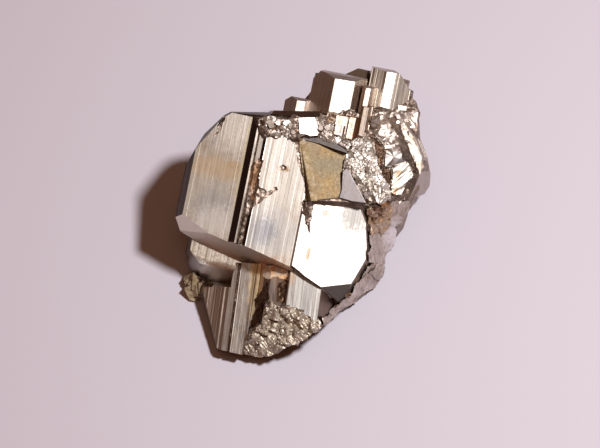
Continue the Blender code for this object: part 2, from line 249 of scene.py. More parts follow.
def rippleOut(obj, amount, size, turn):
    # long shell-like waves, running at an angle across the front
    long = Matrix.Diagonal((rippleLength * size * mm, size * mm, size * mm, 1))
    cloudOut(obj, Matrix.Rotation(math.radians(turn), 4, "Z") @ long,
             direction="NORMAL", mid_level=0.5, strength=amount * mm)


def waver(obj, lean, dip, low, high, every, depth, seed):
    # cuts a striated bar across and lets its lines rise and sink a little on their way
    axes = growthMatrix(lean, dip)
    along = axes.col[1].to_3d()
    openMesh(obj)
    for i in range(int((high - low) / every)):
        bpy.ops.mesh.select_all(action="SELECT")
        bpy.ops.mesh.bisect(
            plane_co=along * (low + every * (i + 0.5)) * mm, plane_no=along, threshold=touching)
    closeMesh()
    elsewhere = Matrix.Translation(Vector((seed * waveShift, 0, 0)))
    cloudOut(obj, elsewhere @ axes @ Matrix.Diagonal((*(size * mm for size in waveSize), 1)),
             direction="Z", mid_level=1.0, strength=depth * mm)


def streaked(profile, rng, width):
    # puts growth lines on the stretches of a profile whose third number gives their depth;
    # a negative number makes stairs, narrow treads that face the front with risers between
    area = sum(a[0] * b[1] - b[0] * a[1] for a, b in zip(profile, profile[1:] + profile[:1]))
    points = []
    for (x0, y0, *lines), (x1, y1, *_) in zip(profile, profile[1:] + profile[:1]):
        points.append((x0, y0))
        depth = lines[0] if lines else 0
        length = math.hypot(x1 - x0, y1 - y0)
        step = Vector(((x1 - x0) / length, (y1 - y0) / length))
        inward = Vector((-step.y, step.x)) if area > 0 else Vector((step.y, -step.x))
        t = lineCut["rim"]
        while depth < 0 and t < length - lineCut["lastStair"]:
            wide = min(-depth * rng.uniform(*lineCut["stairSpread"]), length - t)
            a = Vector((x0, y0)) + step * t
            b = a + step * wide
            farther = max if (b.y - a.y) * (b.x - a.x) > 0 else min
            corner = Vector((farther(a.x, b.x), min(a.y, b.y)))
            corner = (a + b).lerp(corner * 2, rng.uniform(*lineCut["stairCorner"])) / 2
            points += [(a.x, a.y), (corner.x, corner.y)]
            t += wide
        while depth > 0 and t < length - lineCut["lastLine"]:
            wide = width * rng.uniform(*lineCut["spread"]) ** 2 * lineCut["widest"]
            wide = min(wide + lineCut["narrowest"], length - t - lineCut["rim"])
            low = depth * rng.random()
            tilt = depth * rng.uniform(-lineCut["tilt"], lineCut["tilt"])
            edge = lineCut["edge"]
            for along, down in ((t + edge, low), (t + wide - edge, max(0, low + tilt))):
                place = Vector((x0, y0)) + step * along + inward * down
                points.append((place.x, place.y))
            t += wide
    return points


def prism(name, profile, low, high, lean, dip, seed, width=0.5):
    # a striated bar, lying along the crystal's own direction
    points = streaked(profile, random.Random(seed), width)
    obj = polygon(name, [(across, low, out) for across, out in points])
    extrude(obj, 0, high - low, 0)
    closeMesh()
    keepTurn(obj, growthMatrix(lean, dip))
    return obj


def finishPiece(obj, material):
    sliceOff(obj, fromGround(0, 0, groundCut), -upward)
    keepTurn(obj, lieMatrix())
    obj.data.materials.clear()
    obj.data.materials.append(material)
    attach(obj, "root")
    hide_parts("crystal_group")


def feed(tree, node, inputs):
    # colours are given without their alpha
    for label, value in inputs.items():
        socket = node.inputs[label]
        if isinstance(value, bpy.types.NodeSocket):
            tree.links.new(value, socket)
        else:
            socket.default_value = (*value, 1) if socket.type == "RGBA" else value


def addNode(tree, kind, inputs, **settings):
    made = tree.nodes.new("ShaderNode" + kind)
    for setting, value in settings.items():
        setattr(made, setting, value)
    feed(tree, made, inputs)
    return made


def maths(tree, operation, *values):
    return addNode(tree, "Math", dict(enumerate(values)), operation=operation).outputs[0]


def vectors(tree, operation, *values, result="Vector"):
    made = addNode(tree, "VectorMath", dict(enumerate(values)), operation=operation)
    return made.outputs[result]


def ramp(tree, value, start, end, low=0, high=1):
    return addNode(tree, "MapRange", {0: value, 1: start, 2: end, 3: low, 4: high}).outputs[0]


def noise(tree, place, scale, detail, roughness=0.7, result="Fac"):
    inputs = {"Vector": place, "Scale": scale, "Detail": detail, "Roughness": roughness}
    return addNode(tree, "TexNoise", inputs).outputs[result]


def mixColour(tree, factor, first, second):
    return addNode(tree, "Mix", {0: factor, 6: first, 7: second}, data_type="RGBA").outputs[2]


def newGroup(name, inputs, outputs):
    tree = bpy.data.node_groups.new(name, "ShaderNodeTree")
    for label, value in inputs.items():
        kind = "NodeSocketVector" if isinstance(value, tuple) else "NodeSocketFloat"
        tree.interface.new_socket(label, in_out="INPUT", socket_type=kind).default_value = value
    for label, kind in outputs.items():
        tree.interface.new_socket(label, in_out="OUTPUT", socket_type=kind)
    return tree, tree.nodes.new("NodeGroupInput").outputs, tree.nodes.new("NodeGroupOutput")


def useGroup(tree, group, **inputs):
    return addNode(tree, "Group", inputs, node_tree=group).outputs


def makeStreakGroup():
    # growth lines: long soft stripes across a crystal's face
    tree, given, result = newGroup(
        "growthLines", {"Place": (0, 0, 0), "Width": 0.3, "Length": 8.0, "Shift": 0.0},
        {"Mask": "NodeSocketFloat"})
    wide, long = given["Width"], given["Length"]
    size = addNode(tree, "CombineXYZ", {0: wide, 1: long, 2: wide}).outputs[0]
    moved = vectors(tree, "ADD", vectors(tree, "DIVIDE", given["Place"], size), given["Shift"])
    feed(tree, result, {"Mask": noise(tree, moved, 1.0, 3.0, 0.65)})
    return tree


def makePatchGroup():
    # a ragged patch around one place on a face: tarnish, dust or rust, or painted light or painted
    # shade
    tree, given, result = newGroup(
        "raggedPatch", {"Place": (0, 0, 0), "Middle": (0, 0, 0), "Size": (1, 1, 9),
                        "Ragged": 0.8, "Grain": 1.0, "Soft": 0.4},
        {"Mask": "NodeSocketFloat"})
    away = vectors(tree, "SUBTRACT", given["Place"], given["Middle"])
    far = vectors(tree, "LENGTH", vectors(tree, "DIVIDE", away, given["Size"]), result="Value")
    centred = maths(tree, "SUBTRACT", noise(tree, given["Place"], given["Grain"], 4.0), 0.5)
    torn = maths(tree, "MULTIPLY_ADD", centred, given["Ragged"], far)
    start = maths(tree, "SUBTRACT", 1.0, given["Soft"])
    end = maths(tree, "ADD", given["Soft"], 1.0)
    feed(tree, result, {"Mask": ramp(tree, torn, start, end, 1, 0)})
    return tree


def makeGlitterGroup():
    # broken grains: each tiny cell is turned its own way
    tree, given, result = newGroup(
        "brokenGrains", {"Place": (0, 0, 0), "Grain": 2.5, "Turn": 0.6},
        {"Normal": "NodeSocketVector", "Mask": "NodeSocketFloat"})
    cells = addNode(tree, "TexVoronoi", {"Vector": given["Place"], "Scale": given["Grain"]})
    cells = cells.outputs["Color"]
    centred = vectors(tree, "SUBTRACT", cells, (0.5, 0.5, 0.5))
    turned = addNode(tree, "VectorMath", {0: centred, "Scale": given["Turn"]}, operation="SCALE")
    normal = addNode(tree, "NewGeometry", {}).outputs["Normal"]
    unit = vectors(tree, "NORMALIZE", vectors(tree, "ADD", turned.outputs[0], normal))
    mask = addNode(tree, "SeparateColor", {0: cells}).outputs[0]
    feed(tree, result, {"Normal": unit, "Mask": mask})
    return tree


streakGroup = makeStreakGroup()
patchGroup = makePatchGroup()
glitterGroup = makeGlitterGroup()


def crystalPlace(tree, lean, dip):
    # Object coordinates turned into millimetres across, along and out of a crystal
    back = (lieMatrix() @ growthMatrix(lean, dip)).inverted()
    spot = addNode(tree, "TexCoord", {}).outputs["Object"]
    return addNode(tree, "Mapping", {
        "Vector": spot, "Location": back.to_translation() / mm,
        "Rotation": back.to_euler(), "Scale": (1 / mm, 1 / mm, 1 / mm)}).outputs[0]


def newMaterial(name):
    made = bpy.data.materials.new(name)
    made.use_nodes = True
    return made, made.node_tree, made.node_tree.nodes["Principled BSDF"]


def patch(middle, size, colour, strength=1.0, ragged=1.0, grain=1.0, soft=0.4, rough=None):
    # a place that looks different, in millimetres across, along and out of its crystal
    return {"middle": middle, "size": size, "colour": colour, "strength": strength,
            "ragged": ragged, "grain": grain, "soft": soft, "rough": rough}


def patchOver(tree, place, spot, colour, roughness):
    mask = useGroup(
        tree, patchGroup, Place=place, Middle=spot["middle"], Size=spot["size"],
        Ragged=spot["ragged"], Grain=spot["grain"], Soft=spot["soft"])["Mask"]
    mask = maths(tree, "MULTIPLY", mask, spot["strength"])
    if spot["rough"] is not None:
        inputs = {0: mask, 2: roughness, 3: spot["rough"]}
        roughness = addNode(tree, "Mix", inputs).outputs[0]
    return mixColour(tree, mask, colour, spot["colour"]), roughness


def side(toward, start, colour, strength=0.85):
    # painted light or painted shade: the colour of all faces that look a certain way
    return {"toward": toward, "start": start, "colour": colour, "strength": strength}


silver = dict(
    metal=(0.50, 0.46, 0.41), tarnishColour=(0.40, 0.31, 0.22), tarnish=0.6,
    blueColour=(0.26, 0.27, 0.31), blue=0.5, fade=(-90, -80),
    lineColour=(0.20, 0.16, 0.14), lines=0.5, lineWidth=0.25,
    specks=0.35, fleckColour=(0.62, 0.60, 0.56),
    # painted shade on walls, the faces turned away from the front: their colour, its paler mottle,
    # strength and where they start
    paintedWallColour=(0.12, 0.085, 0.07), paintedWallPale=(0.26, 0.20, 0.165), wall=0.95, wallFrom=0.93,
    rough=0.42, bump=0.5, dust=0.6, patches=(), sides=(), stainsAndPaintedShading=(),
    # noises: scale, detail and roughness; masks: where they start and where they are full
    stainNoise=(0.45, 6), speckNoise=(2.4, 4, 0.75), dustNoise=(3, 5), tarnishMask=(0.42, 0.66),
    blueMask=(0.52, 0.7), lineMask=(0.54, 0.64), speckMask=(0.54, 0.68), fleckMask=(0.44, 0.34),
    roughMask=(0.3, 0.7), roughSpan=(-0.05, 0.08), fadeTo=0.25, wallSoft=0.15, wallLines=0.8,
    sideSoft=0.12, wallDust=2.5)


def crystalFinish(name, look, lean, dip):
    # polished metal with growth lines, a tarnish that follows them, painted shade or painted light
    # on walls and on faces that look given ways, and patches
    made, tree, shader = newMaterial(name)
    place = crystalPlace(tree, lean, dip)
    lines = useGroup(tree, streakGroup, Place=place, Width=look["lineWidth"], Length=9.0)["Mask"]
    broad = useGroup(tree, streakGroup, Place=place, Width=1.0, Length=5.0, Shift=7.0)["Mask"]
    stain = noise(tree, place, *look["stainNoise"])
    specks = noise(tree, place, *look["speckNoise"])
    along = addNode(tree, "SeparateXYZ", {0: place}).outputs[1]
    fade = ramp(tree, along, *look["fade"], look["fadeTo"], 1)
    tarnish = ramp(tree, stain, *look["tarnishMask"], 0, look["tarnish"])
    streak = ramp(tree, broad, *look["blueMask"], 0, look["blue"])
    streak = maths(tree, "MULTIPLY", streak, fade)
    thin = ramp(tree, lines, *look["lineMask"], 0, look["lines"])
    thin = maths(tree, "MULTIPLY", thin, fade)
    speck = ramp(tree, specks, *look["speckMask"], 0, look["specks"])
    fleck = ramp(tree, specks, *look["fleckMask"], 0, look["specks"])
    colour = mixColour(tree, tarnish, look["metal"], look["tarnishColour"])
    colour = mixColour(tree, streak, colour, look["blueColour"])
    colour = mixColour(tree, thin, colour, look["lineColour"])
    colour = mixColour(tree, speck, colour, look["lineColour"])
    colour = mixColour(tree, fleck, colour, look["fleckColour"])
    smoothest, roughest = (look["rough"] + more for more in look["roughSpan"])
    roughness = ramp(tree, specks, *look["roughMask"], smoothest, roughest)
    for spot in look["patches"]:
        colour, roughness = patchOver(tree, place, spot, colour, roughness)
    turn = (lieMatrix() @ growthMatrix(lean, dip)).to_3x3()
    normal = addNode(tree, "NewGeometry", {}).outputs["True Normal"]
    facing = vectors(tree, "DOT_PRODUCT", normal, turn.col[2], result="Value")
    # Painted shade on walls, the faces turned away from the front; where a look gives walls paler
    # colours than its metal, this is painted light
    wallFull = look["wallFrom"] - look["wallSoft"]
    wall = ramp(tree, facing, look["wallFrom"], wallFull, 0, look["wall"])
    paintedWall = mixColour(tree, stain, look["paintedWallColour"], look["paintedWallPale"])
    paintedWallLines = maths(tree, "MULTIPLY", thin, look["wallLines"])
    paintedWall = mixColour(tree, paintedWallLines, paintedWall, look["lineColour"])
    paintedWall = mixColour(tree, fleck, paintedWall, look["paintedWallPale"])
    colour = mixColour(tree, wall, colour, paintedWall)
    # painted light and painted shade on faces that look given ways
    for face in look["sides"]:
        toward = turn @ Vector(face["toward"]).normalized()
        turned = vectors(tree, "DOT_PRODUCT", normal, toward, result="Value")
        full = face["start"] + look["sideSoft"]
        shown = ramp(tree, turned, face["start"], full, 0, face["strength"])
        colour = mixColour(tree, shown, colour, face["colour"])
    # stains, and patches of painted light or painted shade, laid over the walls
    for spot in look["stainsAndPaintedShading"]:
        colour, roughness = patchOver(tree, place, spot, colour, roughness)
    dust = ramp(tree, wall, 0, 1, look["dust"], look["dust"] + look["wallDust"])
    fine = maths(tree, "MULTIPLY", noise(tree, place, *look["dustNoise"]), dust)
    height = maths(tree, "ADD", maths(tree, "MULTIPLY", lines, fade), fine)
    bump = {"Height": height, "Distance": 0.03 * mm, "Strength": look["bump"]}
    feed(tree, shader, {
        "Base Color": colour, "Roughness": roughness, "Metallic": 1.0,
        "Normal": addNode(tree, "Bump", bump).outputs[0]})
    return made


def rockFinish(name, look):
    # broken ground: dull bronze metal with rust in it
    made, tree, shader = newMaterial(name)
    place = crystalPlace(tree, **growth)
    grains = useGroup(tree, glitterGroup, Place=place, Grain=look["grain"], Turn=look["turn"])
    shade = ramp(tree, noise(tree, place, *look["shadeNoise"]), *look["shadeMask"])
    shine = ramp(tree, grains["Mask"], *look["shineMask"], 0, look["shine"])
    rust = noise(tree, place, *look["rustNoise"])
    rust = ramp(tree, rust, look["rustFrom"], look["rustFrom"] + look["rustSoft"])
    depth, often = look["cells"]
    bend = noise(tree, place, often, *look["bendNoise"], result="Color")
    bent = vectors(tree, "MULTIPLY_ADD", bend, (look["bend"] / often,) * 3, place)
    cells = addNode(tree, "TexVoronoi", {"Vector": bent, "Scale": often},
                    feature="DISTANCE_TO_EDGE").outputs["Distance"]
    crease = ramp(tree, cells, 0, look["creaseWide"], depth, 0)
    colour = mixColour(tree, shade, look["dark"], look["pale"])
    colour = mixColour(tree, shine, colour, look["bright"])
    colour = mixColour(tree, rust, colour, look["rust"])
    colour = mixColour(tree, crease, colour, look["creaseColour"])
    rough = ramp(tree, rust, 0, 1, look["rough"], look["rustRough"])
    for spot in look["patches"]:
        colour, rough = patchOver(tree, place, spot, colour, rough)
    feed(tree, shader, {
        "Base Color": colour, "Roughness": rough, "Normal": grains["Normal"],
        "Metallic": ramp(tree, rust, 0, 1, look["metallic"], look["rustMetal"])})
    return made


def makeCrystal(name, profile, ends, edges, finish, look, seed, axes=growth, width=0.5, cuts=(),
                waves=None, hollows=None, step=0.5, hollowSeed=0):
    # a striated bar with its ends cut, then its cuts, waves and ragged hollows
    obj = prism(name, profile, *ends, **axes, seed=seed, width=width)
    for edge in edges:
        sliceEdge(obj, *edge, **axes)
    for point, normal in cuts:
        sliceOff(obj, point, normal)
    if waves:
        waver(obj, **axes, **waves)
    for i, (outline, floor, wander) in enumerate((hollows or {}).values()):
        carve(obj, outline, floor, **axes, wander=wander, step=step, seed=i + hollowSeed)
    finishPiece(obj, crystalFinish(finish, look, **axes))


# Where a crystal is named below: "edges" are lines on its front, with their height, how far the
# cut leans out in degrees and a chamfer; "hollows" have an outline, a floor and its wander.
notch = ([(0.2, 3.5), (2.2, 3.5), (1.9, 1.4), (1.5, -1.6), (1, 0), (0.5, 1.9)], -1.6, 0.12)
mainCrystal = dict(
    profile=[(-18.8, -2.7, 0.05), (-19.9, -4.9, 0.05), (-18.6, -8), (-12.5, -10), (-9, -17),
        (0.5, -17), (0.8, -2), (-0.2, 0.15, 0.03), (-7.95, 0), (-8.45, -0.55), (-9.12, -0.6),
        (-9.27, -1.3), (-9.45, -0.8), (-9.75, -0.8), (-10.8, -1.95, 0.006)],
    ends=(-16, 22),
    edges=[((0, 17), (-10.9, 17.9), -2.2, 8, 0.12), ((-10.9, 17.9), (-12.4, 17), -2.2, 12, 0.12),
        ((-12.4, 17), (-17.1, 11.7), -2.2, 8, 0.12), ((-17, 11.8), (-18.6, 9.2), -4.2, 3),
        ((-18.7, 1.8), (-15.2, -1), -2.2, 28)],
    cuts=[((-6.1, -4.8, 0.7), (-0.415, -0.858, 0.301)),
        (fromGround(-5, 20, 10), backward - Vector((0.3, 0, 0)) - upward * 0.05)],
    waves=dict(low=-8, high=18, every=1.6, depth=0.02, seed=1),
    hollows={
        "trough": ([(-6.7, 10.6), (-5.8, 10.2), (-6.2, 9), (-6.6, 7.4), (-6.6, 6.1), (-5.4, 5.3),
            (-5.1, 4.5), (-6.2, 3.5), (-7.5, 2.7), (-8.3, 1.4), (-8.8, -1), (-9.1, -3.2),
            (-9.8, -3.2), (-9.4, -1), (-9, 1.6), (-8.5, 3.4), (-8.2, 4.8), (-8, 6.6), (-7.9, 9.3)],
            -1.5, 0.12),
        "seam": ([(-7.8, 4.2), (-6.9, 4.6), (-5.8, 4.9), (-4.8, 5.4), (-3.7, 6), (-3.5, 5.5),
            (-4.6, 4.7), (-5.6, 4.2), (-6.6, 3.7), (-7.5, 3)], -1.2, 0.1),
        "notch": notch,
        "nick": ([(-13.9, 14.1), (-13.1, 15.2), (-13.5, 16), (-12.5, 17.1), (-11.7, 17.6),
            (-12.2, 16.5), (-12.6, 15.5), (-13.3, 14.4)], -4.6, 0.15),
        "topBreak": ([(-6.1, 17), (0, 17), (-0.5, 13.8), (-1.6, 13.5), (-2.6, 13.9), (-3.7, 13.6),
            (-5, 13.9), (-5.8, 13.3), (-6.9, 15.5)], -1.3, 0.2),
        "pit": ([(-3.2, 9.3), (-2.6, 9.5), (-2.1, 9), (-2.6, 8.6), (-3, 8.8)], -0.5, 0.08),
        "rightRim": ([(-1.8, 13.8), (-1, 12.8), (-0.6, 11.8), (-0.5, 10.2), (0, 8.6), (0.5, 7.4),
            (0.8, 5.4), (0.4, 3.5), (2.2, 3.5), (2.9, 7), (2.9, 13.9)], -4, 0.1)},
    step=0.35, finish="striatedSilver",
    look=dict(
        silver, metal=(0.56, 0.52, 0.47), lines=0.65, blue=0.75, specks=0.6, fade=(5, 12.5),
        # painted light on the lower bevel, which lies in shade; painted shade on faces turned left
        # and on faces turned up at the top end
        sides=[
            side((0, -1, 0.2), 0.6, (0.82, 0.73, 0.64)),
            side((-1, 0.15, 0.1), 0.6, (0.05, 0.032, 0.03)),
            side((-0.3, 1, 0.3), 0.6, (0.06, 0.04, 0.03))],
        stainsAndPaintedShading=[
            patch((-2.6, -6.5, -4.5), (2.8, 1.2, 4), (0.5, 0.26, 0.12), 0.8, 2),
            # painted light on the middle of the lower bevel, which lies in shade
            patch((-10, -5.8, -4.5), (6, 0.9, 4), (0.8, 0.7, 0.56), 0.6, 2)],
        patches=[
            patch((-4, 9, 0), (4.5, 8, 2.5), (0.62, 0.6, 0.57), 0.6, 1.2),
            # painted shade on the low end of the middle face
            patch((-5, -2.5, 0), (4.5, 4.5, 2.5), (0.44, 0.44, 0.45), 0.65, 1.6, grain=1.2),
            # painted light on the upper part of the left face
            patch((-13, 14, -2), (3.4, 4, 9), (0.76, 0.73, 0.69), 0.7, 1.5),
            patch((-15, 6.6, -2), (4.6, 1.7, 9), (0.56, 0.43, 0.29), 0.7, 2.2, grain=1.6),
            patch((-12.2, 7.6, -2), (1.1, 0.8, 9), (0.48, 0.35, 0.22), 0.6, 2.2),
            # painted light on the middle of the left face
            patch((-15.5, 2.5, -2), (3.5, 2.5, 9), (0.6, 0.54, 0.46), 0.6, 2, grain=2),
            patch((-14.6, 0.6, -2), (3.4, 3.4, 9), (0.34, 0.35, 0.38), 0.55, 2.8, grain=2.6),
            # painted light on the low end of the left face
            patch((-13.5, -2, -2), (3.5, 2.5, 9), (0.7, 0.67, 0.64), 0.7, 2, grain=2),
            patch((-5.3, -2.2, 0), (1.7, 1.9, 9), (0.24, 0.25, 0.29), 0.7, 2.6, grain=2),
            patch((-7, -3.2, 0), (1.7, 2.4, 9), (0.34, 0.33, 0.34), 0.6, 2.6, grain=2),
            patch((-4.2, 8.3, 0), (0.8, 0.45, 9), (0.28, 0.16, 0.07), 0.9, 2.5, grain=3),
            # painted highlight along the right edge of the left face
            patch((-11, 9, -1), (0.16, 9, 9), (0.66, 0.58, 0.4), 0.8),
            # painted shade in the step between the left and the middle face
            patch((-9.2, -1.4, -1), (0.5, 5.5, 9), (0.07, 0.045, 0.035), 0.8, 0.6)]),
    seed=3)
brightCrystal = dict(
    profile=[(-0.3, -0.32), (-3, -6), (-2, -9), (1, -26), (24, -30), (15, -8), (11.5, -2.1, 0.04),
        (1.5, -0.5, 0.03)],
    ends=(-16, 12),
    edges=[((-1.4, -6.9), (3.5, -10.1), -0.6, 6, 0.15), ((3.5, -10.1), (8.5, -9), -1.2, 38),
        ((8.5, -9), (10.6, -5.4), -1.8, 10, 0.15), ((10.6, -5.4), (10.7, -0.3), -2, 7, 0.15),
        ((10.7, -0.3), (9.9, 2.8), -1.9, 7, 0.15)],
    cuts=[((4.4, -12, -4.6), (0, -0.75, -0.66))],
    waves=dict(low=-12, high=4, every=1.6, depth=0.03, seed=2),
    hollows={
        "rightEdge": ([(10.3, 3), (10.6, 1.4), (10.5, -0.3), (10.8, -1.9), (10.7, -3.5),
            (10.5, -5.4), (9.8, -7.2), (11.2, -7.2), (12.3, -3.5), (11.8, -0.3), (11.5, 3)],
            ((10.6, 0, -2.4), (0.88, 0, 0.47)), 0.16),
        "notch": notch,
        "pits": ([(3.5, 1.9), (4.3, 2.3), (5.1, 1.8), (4.8, 1.2), (4.2, 1.4), (3.8, 1)], -1, 0.1),
        "dent": ([(6.4, 2.4), (7.8, 2.5), (7.5, 1.6), (6.7, 1.3)], -1.25, 0.1)},
    hollowSeed=10, step=0.4, finish="brightSilver",
    look=dict(
        silver, metal=(0.55, 0.51, 0.47), tarnish=0.25, blue=0.3, lines=0.25, specks=0.15,
        paintedWallColour=(0.3, 0.23, 0.2), paintedWallPale=(0.46, 0.38, 0.34),
        # painted shade on faces turned down
        sides=[side((0, -1, 0.75), 0.75, (0.09, 0.08, 0.07))],
        patches=[
            patch((8.4, 3.2, -1), (2.6, 2.6, 9), (0.3, 0.295, 0.29), 0.85, 2.2, grain=1.5,
                rough=0.58),
            patch((2.2, -4.4, 0), (0.3, 1.1, 9), (0.22, 0.12, 0.07), 0.8)]),
    seed=5)
underCrystal = dict(
    profile=[(-16.6, -9.6), (-17.4, -12), (-14, -21), (-4, -21), (-4, -8.8, 0.05)],
    ends=(-14, 6),
    edges=[((-17.6, -4.5), (-16.6, -6.1), -9.6, 20, 0.1),
        ((-16.6, -6.1), (-10.7, -7.7), -9.3, 44, 0.1)],
    width=0.4, finish="underSilver",
    look=dict(
        # the metal is near white: painted light on a crystal that lies in the main crystal's shade
        silver, metal=(0.98, 1, 1), blue=0.2, tarnish=0, lines=0.25, wallFrom=0.8, rough=0.22,
        stainsAndPaintedShading=[
            # painted light on the lower bevel
            patch((-11.8, -8.7, -10), (4.2, 1.2, 9), (0.86, 0.8, 0.74), 0.9, rough=0.6),
            # painted shade on the left end of the lower bevel
            patch((-15.5, -8.2, -10), (1.6, 1, 9), (0.42, 0.39, 0.37), 0.8, rough=0.6)]),
    seed=7)
brokenEdge = [(-7.8, -18.2), (-7.4, -17), (-6.1, -15.4), (-5.8, -13.6), (-4.6, -12.8),
    (-3.2, -13.1), (-2.1, -13.6), (-0.6, -13.4), (1, -14.6), (2.7, -15.7)]
lowerCrystal = dict(
    axes=footGrowth,
    profile=[(-14.2, -9.6, 0.09), (-15, -14), (-12, -26), (6, -26), (7.4, -8), (5.9, -4.2, 0.04),
        (4.7, -1.5, 0.06), (-0.5, -1.25), (-1, -2), (-2.6, -2.5), (-3.5, -2.7), (-4.6, -4, 0.02),
        (-5.1, -4.35, -0.4), (-6.5, -5.15, 0.03), (-8.5, -5.4), (-8.7, -5.85),
        (-8.95, -5.55, 0.02), (-9.95, -5.75, -0.3)],
    ends=(-24, 2),
    edges=[((3, -7.4), (-9.6, -6.1), -5, -12), ((-11, -6.4), (-15.2, -10.2), -7.5, 12),
        ((-15.5, -11.5), (-14, -18.5), -9, 8), ((-14, -18.5), (-13.6, -20.1), -9, 5),
        ((-13.6, -20.1), (-6.1, -21.6), -5.5, -8), ((-6.1, -21.6), (3.5, -16.6), -3.5, -6)],
    waves=dict(low=-22, high=-6, every=1.6, depth=0.05, seed=3),
    hollows={
        "leftEnd": ([(-17.6, -5), (-10.7, -5), (-10.3, -7), (-10.8, -8), (-11.1, -10.2),
            (-13.3, -10.1), (-15, -10), (-17.6, -10)], ((-13, -10.1, -6.4), (0.05, 0.98, 0.17)),
            0.05),
        "slope": ([(-9.1, -22.7), (-9.1, -19.7), *brokenEdge, (5.1, -17), (0.8, -22.7)],
            ((-1.6, -12.7, -0.4), (-0.2, -0.25, 0.95)), 0.25),
        "leftGap": ([(-6.4, -11), (-5.4, -9.4), (-5.1, -9.4), (-5, -12.2), (-5.8, -12.6),
            (-5.8, -14.1), (-7, -16.2), (-8.3, -17.4), (-8, -15.7), (-7.2, -13.8), (-7.4, -12.2)],
            -6.2, 0.12),
        "middleGap": ([(-3.7, -10.2), (-2.7, -8.8), (-1.8, -9.1), (-2.1, -10.7), (-2.4, -12.6),
            (-3.8, -12.5)], -4.6, 0.2)},
    hollowSeed=20, width=0.4, finish="lowerSilver",
    look=dict(
        silver, metal=(0.58, 0.56, 0.54), blue=0.6, tarnish=0.5, wallFrom=0.8,
        paintedWallColour=(0.17, 0.1, 0.07), paintedWallPale=(0.28, 0.2, 0.15),
        # painted light on faces turned up towards the crystal's upper end, which lie in shade
        sides=[side((0, 1, 0.2), 0.8, (0.44, 0.38, 0.34), 1)],
        patches=[
            patch((-5.5, -9.5, -4), (1.2, 5.5, 9), (1, 0.88, 0.58), 0.95, 1),
            patch((-5.9, -9.5, -4), (0.14, 5, 9), (0.1, 0.07, 0.05), 0.9, 0.8, grain=2.5),
            patch((-3.4, -7.6, -3), (2.8, 1.4, 9), (0.8, 0.52, 0.28), 0.9, 1.5, rough=0.6),
            # painted light on a pale column that lies in shade
            patch((-2, -9.6, -3), (0.9, 1.8, 9), (0.98, 0.94, 0.91), 0.9, 1.4, rough=0.34),
            patch((-0.4, -8.9, -3), (1, 1, 9), (0.55, 0.3, 0.14), 0.8, 1.8),
            patch((2.2, -11.5, -2), (3.4, 4.6, 9), (0.33, 0.32, 0.31), 0.9, 1.2),
            patch((2.6, -13, -2), (0.5, 3, 9), (0.27, 0.26, 0.26), 0.6, soft=0.9),
            patch((-12, -13, -7), (2.1, 9, 9), (0.5, 0.41, 0.35), 0.85, 0.8)]),
    seed=9)
sideCrystal = dict(
    axes=sideGrowth,
    profile=[(17.2, -8.6, 0.03), (19.2, -7.2, 0.03), (20.8, -5.2, 0.05), (22.3, -5.6, 0.05),
        (23.2, -9.5), (22, -17), (17.2, -17)],
    ends=(-3, 10.5),
    edges=[((19, 7.4), (19.5, 8.2), -5.4, 12), ((19.5, 8.2), (19.7, 11.6), -5.6, 14),
        ((19.7, 11.6), (17.2, 15.6), -5.4, 14)],
    waves=dict(low=-3, high=10, every=0.9, depth=0.15, seed=6),
    hollows={
        "leftBreak": ([(14.7, 18.2), (16.8, 15.4), (17.4, 13.1), (18.4, 10.6), (19.2, 8.2),
            (16.8, 8.2), (16, 11.8), (14.7, 15)], -8.2, 0.12),
        "rightBreak": ([(17.8, 15.5), (18.2, 14.6), (18.1, 13.6), (18.6, 12.8), (19.4, 12),
            (19.8, 10.7), (21.1, 10.7), (20.8, 15.5)], -6.3, 0.12)},
    hollowSeed=40, step=0.6, finish="stripSilver",
    look=dict(
        silver, tarnish=0.9, specks=1, rough=0.5, metal=(0.46, 0.43, 0.39),
        # wall colours paler than the metal: painted light on the walls
        paintedWallColour=(0.36, 0.3, 0.26), paintedWallPale=(0.58, 0.51, 0.46)),
    seed=31)


def makeBlock(name, outline, point, normal, depth, spread, finish, look):
    # a flat-topped crystal that widens as it goes back
    obj = flatShape(name, outline, point, normal)
    middle = sum((corner.co for corner in obj.data.vertices), Vector()) / len(outline)
    widest = max((corner.co - middle).length for corner in obj.data.vertices)
    extrude(obj, 0, 0, -depth)
    wide = 1 + spread * mm / widest
    bpy.ops.transform.resize(value=(wide, wide, 1), center_override=middle)
    closeMesh()
    modify(obj, "BEVEL", width=blockBevel * mm, segments=2, limit_method="ANGLE",
           angle_limit=math.radians(25))
    finishPiece(obj, crystalFinish(finish, look, **growth))


